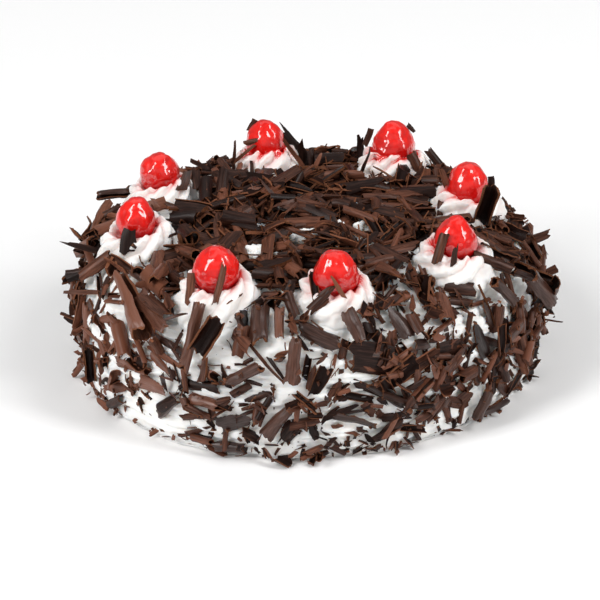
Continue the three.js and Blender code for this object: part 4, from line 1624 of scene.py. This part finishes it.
# The wished cover by azimuth in degrees, for runs from the shoulder to the foot of the side.
COVER_AZIMUTHS = (0, 60, 120, 180, 215, 240, 265, 290, 320, 360)
COVER_ROWS = {
    88: (0.80, 0.70, 0.70, 0.72, 0.58, 0.75, 0.95, 0.95, 0.80, 0.84),
    112: (0.60, 0.60, 0.60, 0.55, 0.40, 0.40, 0.54, 0.78, 0.42, 0.58),
    128: (0.70, 0.68, 0.68, 0.64, 0.44, 0.62, 0.64, 0.90, 0.70, 0.70),
    145: (0.66, 0.64, 0.64, 0.60, 0.34, 0.78, 0.80, 0.80, 0.66, 0.66),
    158: (0.46, 0.44, 0.44, 0.42, 0.30, 0.40, 0.44, 0.48, 0.46, 0.46),
    170: (0.50, 0.50, 0.50, 0.44, 0.40, 0.50, 0.62, 0.62, 0.44, 0.50),
}
# Patches of bare cream as (azimuth, run, radius).
BARE_PATCHES = [
    (231, 163, 16), (221, 158, 10), (300, 163, 9), (250, 119, 8), (262, 128, 8),
    (210, 118, 8), (325, 109, 10), (259, 110, 6), (243, 132, 6), (281, 124, 6),
]
BARE_FROM, BARE_TO = 0.5, 1.4  # a patch fades out between these shares of its radius
PATCHY, PATCH_SIZE = 0.35, 14


def wished_cover(u, run):
    """The share of the cream that should be covered round a place on the side."""
    azimuth = math.degrees(u / WIDEST) % 360
    rows = [np.interp(azimuth, COVER_AZIMUTHS, row) for row in COVER_ROWS.values()]
    wish = np.interp(run, list(COVER_ROWS), rows)
    patchy = noise.noise(Vector((u / PATCH_SIZE, run / PATCH_SIZE, 5)))
    for bare_azimuth, bare_run, radius in BARE_PATCHES:
        away = (azimuth - bare_azimuth + 180) % 360 - 180
        distance = math.hypot(math.radians(away) * WIDEST, run - bare_run)
        wish *= soft_step(radius * BARE_FROM, radius * BARE_TO, distance)
    return wish * (1 + PATCHY * patchy)

# %% [markdown]
# The shavings that show most on the front are pressed on first, one by one, flat against the cream.

# %% The shavings pressed on one by one
# Each as its kind, its azimuth in degrees and its run, its length and width in millimetres, its
# turn, 1 or -1 for the outer side or the hollow outwards, and its brown.
PRESSED = [
    ("splinters", 235, 105, 12, 1.8, 39, 1, 0.3),
    ("slabs", 252, 98, 9, 4, -75, 1, 0.05),
    ("splinters", 249, 94, 10, 1.2, -125, 1, 0.7),
    ("splinters", 250, 112, 8, 1.5, -68, 1, 0.5),
    ("splinters", 259, 117, 24, 2.2, -47, 1, 0.55),
    ("splinters", 262, 120, 14, 2, -51, 1, 0.1),
    ("flakes", 249, 126, 14, 4, 106, 1, 0.2),
    ("gutters", 253, 132, 12, 4, -146, 1, 0.45),
    ("flakes", 256, 136, 19, 4, -152, 1, 0.35),
    ("splinters", 254, 143, 10, 2, -158, 1, 0.3),
    ("splinters", 261, 132, 11, 2.2, -94, 1, 0.75),
    ("splinters", 258, 146, 9, 2.2, -107, 1, 0.7),
    ("splinters", 257, 155, 11, 1.8, -126, 1, 0.6),
    ("splinters", 265, 152, 17, 1.5, -108, 1, 0.55),
    ("splinters", 262, 160, 11, 1.8, -122, 1, 0.5),
    ("gutters", 242, 133, 24, 6, 6, 1, 0.12),
    ("gutters", 240, 150, 17, 4, 17, 1, 0.5),
    ("splinters", 238, 140, 11, 1.8, -41, 1, 0.1),
    ("splinters", 249, 158, 11, 3, -94, 1, 0.6),
    ("flakes", 240, 158, 23, 3, 26, 1, 0.45),
    ("slabs", 253, 161, 6, 3, -34, 1, 0.1),
    ("gutters", 273, 94, 16, 4.5, 20, 1, 0.4),
    ("splinters", 287, 100, 11, 3, -72, 1, 0.1),
    ("slabs", 285, 116, 24, 12, -15, 1, 0.12),
    ("slabs", 286, 124, 25, 4.5, -17, 1, 0.2),
    ("flakes", 283, 122, 16, 4, -35, 1, 0.95),
    ("splinters", 279, 119, 9, 2.5, -75, 1, 0.8),
    ("gutters", 269, 120, 14, 3.5, -103, -1, 0.2),
    ("flakes", 270, 125, 14, 3.5, 75, 1, 0.8),
    ("gutters", 272, 126, 18, 7, -116, -1, 0.2),
    ("flakes", 275, 132, 13, 4, -129, 1, 0.55),
    ("splinters", 271, 138, 12, 3, -166, 1, 0.6),
    ("splinters", 277, 126, 10, 2.5, -98, 1, 0.5),
    ("slabs", 284, 133, 23, 4.5, -30, 1, 0.15),
    ("gutters", 291, 140, 26, 4.5, -30, 1, 0.3),
    ("gutters", 281, 136, 16, 4, -18, -1, 0.1),
    ("splinters", 277, 142, 20, 3, 16, 1, 0.1),
    ("splinters", 281, 143, 19, 1.8, -2, 1, 0.2),
    ("flakes", 278, 153, 17, 3.5, -30, 1, 0.75),
    ("slabs", 290, 149, 19, 4.5, -6, 1, 0.15),
    ("gutters", 270, 152, 10, 4.5, -74, 1, 0.02),
    ("splinters", 274, 143, 12, 2.5, -134, 1, 0.2),
    ("splinters", 274, 156, 14, 2, -51, 1, 0.3),
    ("splinters", 288, 159, 12, 2.5, -113, 1, 0.1),
    ("splinters", 293, 158, 9, 2.2, -97, 1, 0.5),
    ("splinters", 298, 153, 15, 2.5, -96, 1, 0.5),
    ("slabs", 278, 162, 7, 4, -106, 1, 0.1),
    ("gutters", 202, 114, 26, 3.5, -89, 1, 0.15),
    ("gutters", 206, 110, 18, 3.5, -102, 1, 0.7),
    ("splinters", 204, 151, 18, 3, -89, 1, 0.45),
    ("splinters", 217, 115, 5, 2, -91, 1, 0.1),
    ("splinters", 219, 126, 14, 2, -8, 1, 0.1),
    ("slabs", 212, 153, 24, 5, 26, 1, 0.75),
    ("rolls", 214, 158, 16, 5, 33, 1, 0.05),
    ("slabs", 227, 103, 22, 8.5, -16, 1, 0.35),
    ("slabs", 233, 116, 22, 5, -15, 1, 0.2),
    ("slabs", 231, 123, 23, 4, -17, 1, 0.85),
    ("splinters", 225, 124, 16, 2.2, -26, 1, 0.1),
    ("flakes", 231, 127, 16, 4, -24, 1, 0.8),
    ("splinters", 233, 135, 10, 2.5, -58, 1, 0.1),
    ("gutters", 234, 144, 17, 6, 38, 1, 0.1),
    ("flakes", 316, 99, 16, 7, 140, 1, 0.35),
    ("splinters", 321, 113, 24, 3.5, -86, 1, 0.15),
    ("splinters", 329, 114, 18, 3, -73, 1, 0.15),
    ("slabs", 309, 106, 15, 5.5, -17, 1, 0.4),
    ("slabs", 321, 130, 16, 4.5, -33, 1, 0.35),
    ("gutters", 327, 130, 18, 5.5, -90, 1, 0.08),
    ("slabs", 335, 136, 25, 8, -54, 1, 0.4),
    ("slabs", 306, 123, 16, 10, -6, 1, 0.2),
    ("splinters", 306, 114, 12, 3, -98, 1, 0.5),
    ("splinters", 332, 145, 20, 3, -23, 1, 0.7),
    ("gutters", 321, 147, 23, 4.5, -98, 1, 0.15),
    ("gutters", 335, 158, 23, 5.5, -166, 1, 0.35),
    ("slabs", 324, 156, 17, 7.5, -49, 1, 0.35),
    ("gutters", 311, 132, 12, 4, 63, 1, 0.3),
    ("slabs", 314, 142, 10, 5, -80, 1, 0.25),
    ("slabs", 305, 141, 12, 7, 22, 1, 0.2),
    ("slabs", 308, 152, 13, 6, -23, 1, 0.5),
    ("gutters", 342, 123, 26, 7.5, -61, 1, 0.4),
]
for kind, azimuth, run, length, width, turn, side, brown in PRESSED:
    u = math.radians(azimuth) * WIDEST
    lay_by_hand(side_map, kind, u, run, length, width, turn, 0, side, brown)
print(len(PRESSED), "shavings are pressed on by hand")

# %% [markdown]
# The rest of the side is laid by chance, in rounds of small, large and again small shavings. One is
# only laid where the cover around it is still less than the wish. They are larger at the shoulder
# than at the foot, and the broad kinds are made smaller, so that none stands out.

# %% Laying the shavings on the side
SIDE_MIX = {
    "scrolls": 0.05, "rolls": 0.14, "gutters": 0.38, "slabs": 0.17, "flakes": 0.16, "splinters": 0.1,
}
# The rounds of the side as (tries, smallest and largest size, height a shaving may reach).
SIDE_ROUNDS = [(1500, 0.45, 0.8, 6.0), (4500, 0.85, 1.35, 9.0), (5000, 0.45, 0.75, 9.0)]
SIZE_RUNS, SIZE_THERE = (95, 165), (1.1, 0.75)
BROAD_KINDS, BROAD_SIZE = ("flakes", "slabs"), 0.78
EDGE = 4.0  # none is laid nearer to the map's upper edge
WINDOW_STEPS = range(-6, 7, 2)  # the cover is counted over this much of the map, both ways
WINDOW = np.array([(x, y, 0) for x in WINDOW_STEPS for y in WINDOW_STEPS], float)


def cover_near(ground, u, v):
    """The share of the cells round a place that something covers."""
    return ground.covered[ground.cells(u, v, WINDOW)].mean()


for tries, smallest, largest, most in SIDE_ROUNDS:
    for _ in range(tries):
        u, run = rng.uniform(0, TURN), rng.uniform(SIDE_FROM + EDGE, SIDE_TO)
        if cover_near(side_map, u, run) > wished_cover(u, run):
            continue
        size = rng.uniform(smallest, largest) * np.interp(run, SIZE_RUNS, SIZE_THERE)
        kind = pick(SIDE_MIX)
        if kind in BROAD_KINDS:
            size *= BROAD_SIZE
        lay_somehow(side_map, kind, u, run, size, most)
    print("covered:", round(float(side_map.covered.mean()), 2))
print("laid on the side:", {name: len(rows) for name, rows in laid.items()})

# %% [markdown]
# Last come the splinters and crumbs that fall off when chocolate is shaved. They lie everywhere, on
# the cream and on the other shavings, and a few cling to the piping.

# %% Splinters and crumbs
SIDE_DUST, TOP_DUST = 1000, 350
DUST = {"splinters": 0.3, "crumbs": 0.7}
SPLINTER_SIZES, CRUMB_SIZES = (0.35, 0.75), (0.6, 1.9)
SPREAD_SIZES = 1.3  # a power that makes the large crumbs larger
DUST_ANGLES = (-15, 30)
DUST_PRESS, DUST_REACH = 0.2, 12
CLINGING = 0.1  # the share of them that may lie on the piping
CLINGS, FALLS = (1.0, 1), (0.1, 1)  # how much of the piping and of the large curls they may hide


def lay_dust(ground, u, v):
    """Lays a splinter or a crumb."""
    kind = pick(DUST)
    if kind == "splinters":
        size = rng.uniform(*SPLINTER_SIZES)
    else:
        size = rng.uniform(*CRUMB_SIZES) ** SPREAD_SIZES
    lean = math.radians(rng.uniform(*DUST_ANGLES))
    hides = CLINGS if rng.uniform() < CLINGING else FALLS
    turn = rng.uniform(0, 2 * math.pi)
    lay(ground, kind, u, v, turn, lean, facing(), size, DUST_PRESS, DUST_REACH, 0.1, hides)


for _ in range(SIDE_DUST):
    lay_dust(side_map, rng.uniform(0, TURN), rng.uniform(SIDE_FROM, SIDE_TO))
for _ in range(TOP_DUST):
    lay_dust(top_map, *rng.uniform(-TOP_REACH, TOP_REACH, 2))
add_laid("pressed")

# %% [markdown]
# Shavings are pushed into the cream while it is soft, so it wells up beside them. The map of what
# is covered is blurred: a bare place next to something covered is where the cream rises, and under
# the shavings it sinks. The side's corners move by that along their normals.

# %% Cream that wells up beside the shavings
WELL_REACH, BARE_REACH = 3, 2  # over how many cells the map is blurred
WELL_HEIGHT = 0.9
SINK = 0.3
STILL_FOOT = 4.0  # the cream this near the floor doesn't move


def blurred(cells, reach):
    """The cells averaged over a square, which wraps round the cake along the first axis."""
    wide = sum(np.roll(cells, shift, axis=0) for shift in range(-reach, reach + 1))
    padded = np.pad(wide, ((0, 0), (reach, reach)), mode="edge")
    summed = sum(padded[:, shift : shift + cells.shape[1]] for shift in range(2 * reach + 1))
    return summed / (2 * reach + 1) ** 2


near = blurred(blurred(side_map.covered, WELL_REACH), BARE_REACH)
bare = 1 - blurred(side_map.covered, BARE_REACH)
well = WELL_HEIGHT * 4 * near * (1 - near) * bare - SINK * (1 - bare)
mesh = cake_body.data
points = np.empty(3 * len(mesh.vertices))
mesh.vertices.foreach_get("co", points)
points = points.reshape(-1, 3) / MM
normals = np.empty(3 * len(mesh.vertices))
mesh.vertex_normals.foreach_get("vector", normals)
normals = normals.reshape(-1, 3)
radii = np.hypot(points[:, 0], points[:, 1])
nearest = [
    np.argmin(np.hypot(outline[:, 1] - radius, outline[:, 2] - height))
    for radius, height in zip(radii, points[:, 2])
]
runs = outline[nearest, 0]
azimuths = np.arctan2(points[:, 1], points[:, 0]) % (2 * math.pi)
columns = (azimuths * WIDEST // CELL).astype(int) % side_map.size[0]
rows = ((runs - SIDE_FROM) // CELL).astype(int).clip(0, side_map.size[1] - 1)
moves = (runs > SIDE_FROM) & (points[:, 2] > STILL_FOOT)
points += normals * (well[columns, rows] * moves)[:, None]
mesh.vertices.foreach_set("co", (points * MM).ravel())
mesh.update()
print("the cream wells up by at most", round(float(well.max()), 1), "mm")

# %% [markdown]
# The cake stands on a plain pale floor that runs out of sight, in a white room. Two tall soft boxes
# at the sides give each cherry its pair of highlights. A broad light above and behind models the
# cream, and a weak one in front lifts the shadows. The floor takes the cake's soft shadow.

# %% Floor and light
FLOOR_SIZE = 12.0
ROOM_LIGHT = 0.16
floor_shape = bmesh.new()
bmesh.ops.create_grid(floor_shape, x_segments=1, y_segments=1, size=FLOOR_SIZE / 2)
floor = bpy.data.objects.new("floor", mesh_of("floor", floor_shape))
bpy.context.scene.collection.objects.link(floor)
floor_white, _, _ = new_material("floor_white", Base_Color=(0.97, 0.97, 0.97, 1), Roughness=1.0)
floor.data.materials.append(floor_white)
print("the floor is", FLOOR_SIZE, "m wide")

world = bpy.data.worlds.new("white_room")
world.use_nodes = True
background = world.node_tree.nodes["Background"]
background.inputs["Color"].default_value = (1, 1, 1, 1)
background.inputs["Strength"].default_value = ROOM_LIGHT
bpy.context.scene.world = world

# %% The soft boxes
CAKE_MIDDLE = Vector((0, 0, 0.06))


def soft_box(name, azimuth, elevation, distance, width, height, watts):
    """A rectangular light at some angles from the cake's middle, turned towards it."""
    a, e = math.radians(azimuth), math.radians(elevation)
    towards = Vector((math.cos(a) * math.cos(e), math.sin(a) * math.cos(e), math.sin(e)))
    light = bpy.data.lights.new(name, "AREA")
    light.shape = "RECTANGLE"
    light.size = width
    light.size_y = height
    light.energy = watts
    lamp = bpy.data.objects.new(name, light)
    lamp.location = CAKE_MIDDLE + towards * distance
    lamp.rotation_mode = "QUATERNION"
    lamp.rotation_quaternion = towards.to_track_quat("Z", "Y")
    bpy.context.scene.collection.objects.link(lamp)


# Each as its side, azimuth, elevation, distance, width, height and watts.
SOFT_BOXES = [
    ("left", 212, 38, 3.3, 0.9, 2.4, 82),
    ("right", -30, 38, 3.3, 0.9, 2.4, 75),
    ("front", -90, 25, 4.0, 5.0, 2.0, 9),
    ("above", 90, 66, 3.5, 5.0, 3.0, 30),
]
for side, *numbers in SOFT_BOXES:
    soft_box(f"soft_box_{side}", *numbers)
print(len(SOFT_BOXES), "soft boxes light the cake")

# %% [markdown]
# The camera looks along +Y from well back, through a long lens, so that the round cake keeps its
# shape. It looks down by 25 degrees, is aimed a little below the middle of the side's height, and is
# tipped by two degrees.

# %% Camera
AIM = Vector((-3.95, 0, 30.9)) * MM
DISTANCE = 1.5
ELEVATION = math.radians(25.35)
ROLL = math.radians(-2.07)
LENS = 180.18
SENSOR = 36.0
lens = bpy.data.cameras.new("camera")
lens.sensor_width = SENSOR
lens.lens = LENS
camera = bpy.data.objects.new("camera", lens)
back = Vector((0, -math.cos(ELEVATION), math.sin(ELEVATION)))
camera.location = AIM + back * DISTANCE
camera.rotation_mode = "QUATERNION"
camera.rotation_quaternion = back.to_track_quat("Z", "Y") @ Quaternion((0, 0, 1), ROLL)
bpy.context.scene.collection.objects.link(camera)
bpy.context.scene.camera = camera
bpy.context.scene.view_settings.view_transform = "Standard"
print("the camera stands at", [round(value, 2) for value in camera.location], "m")
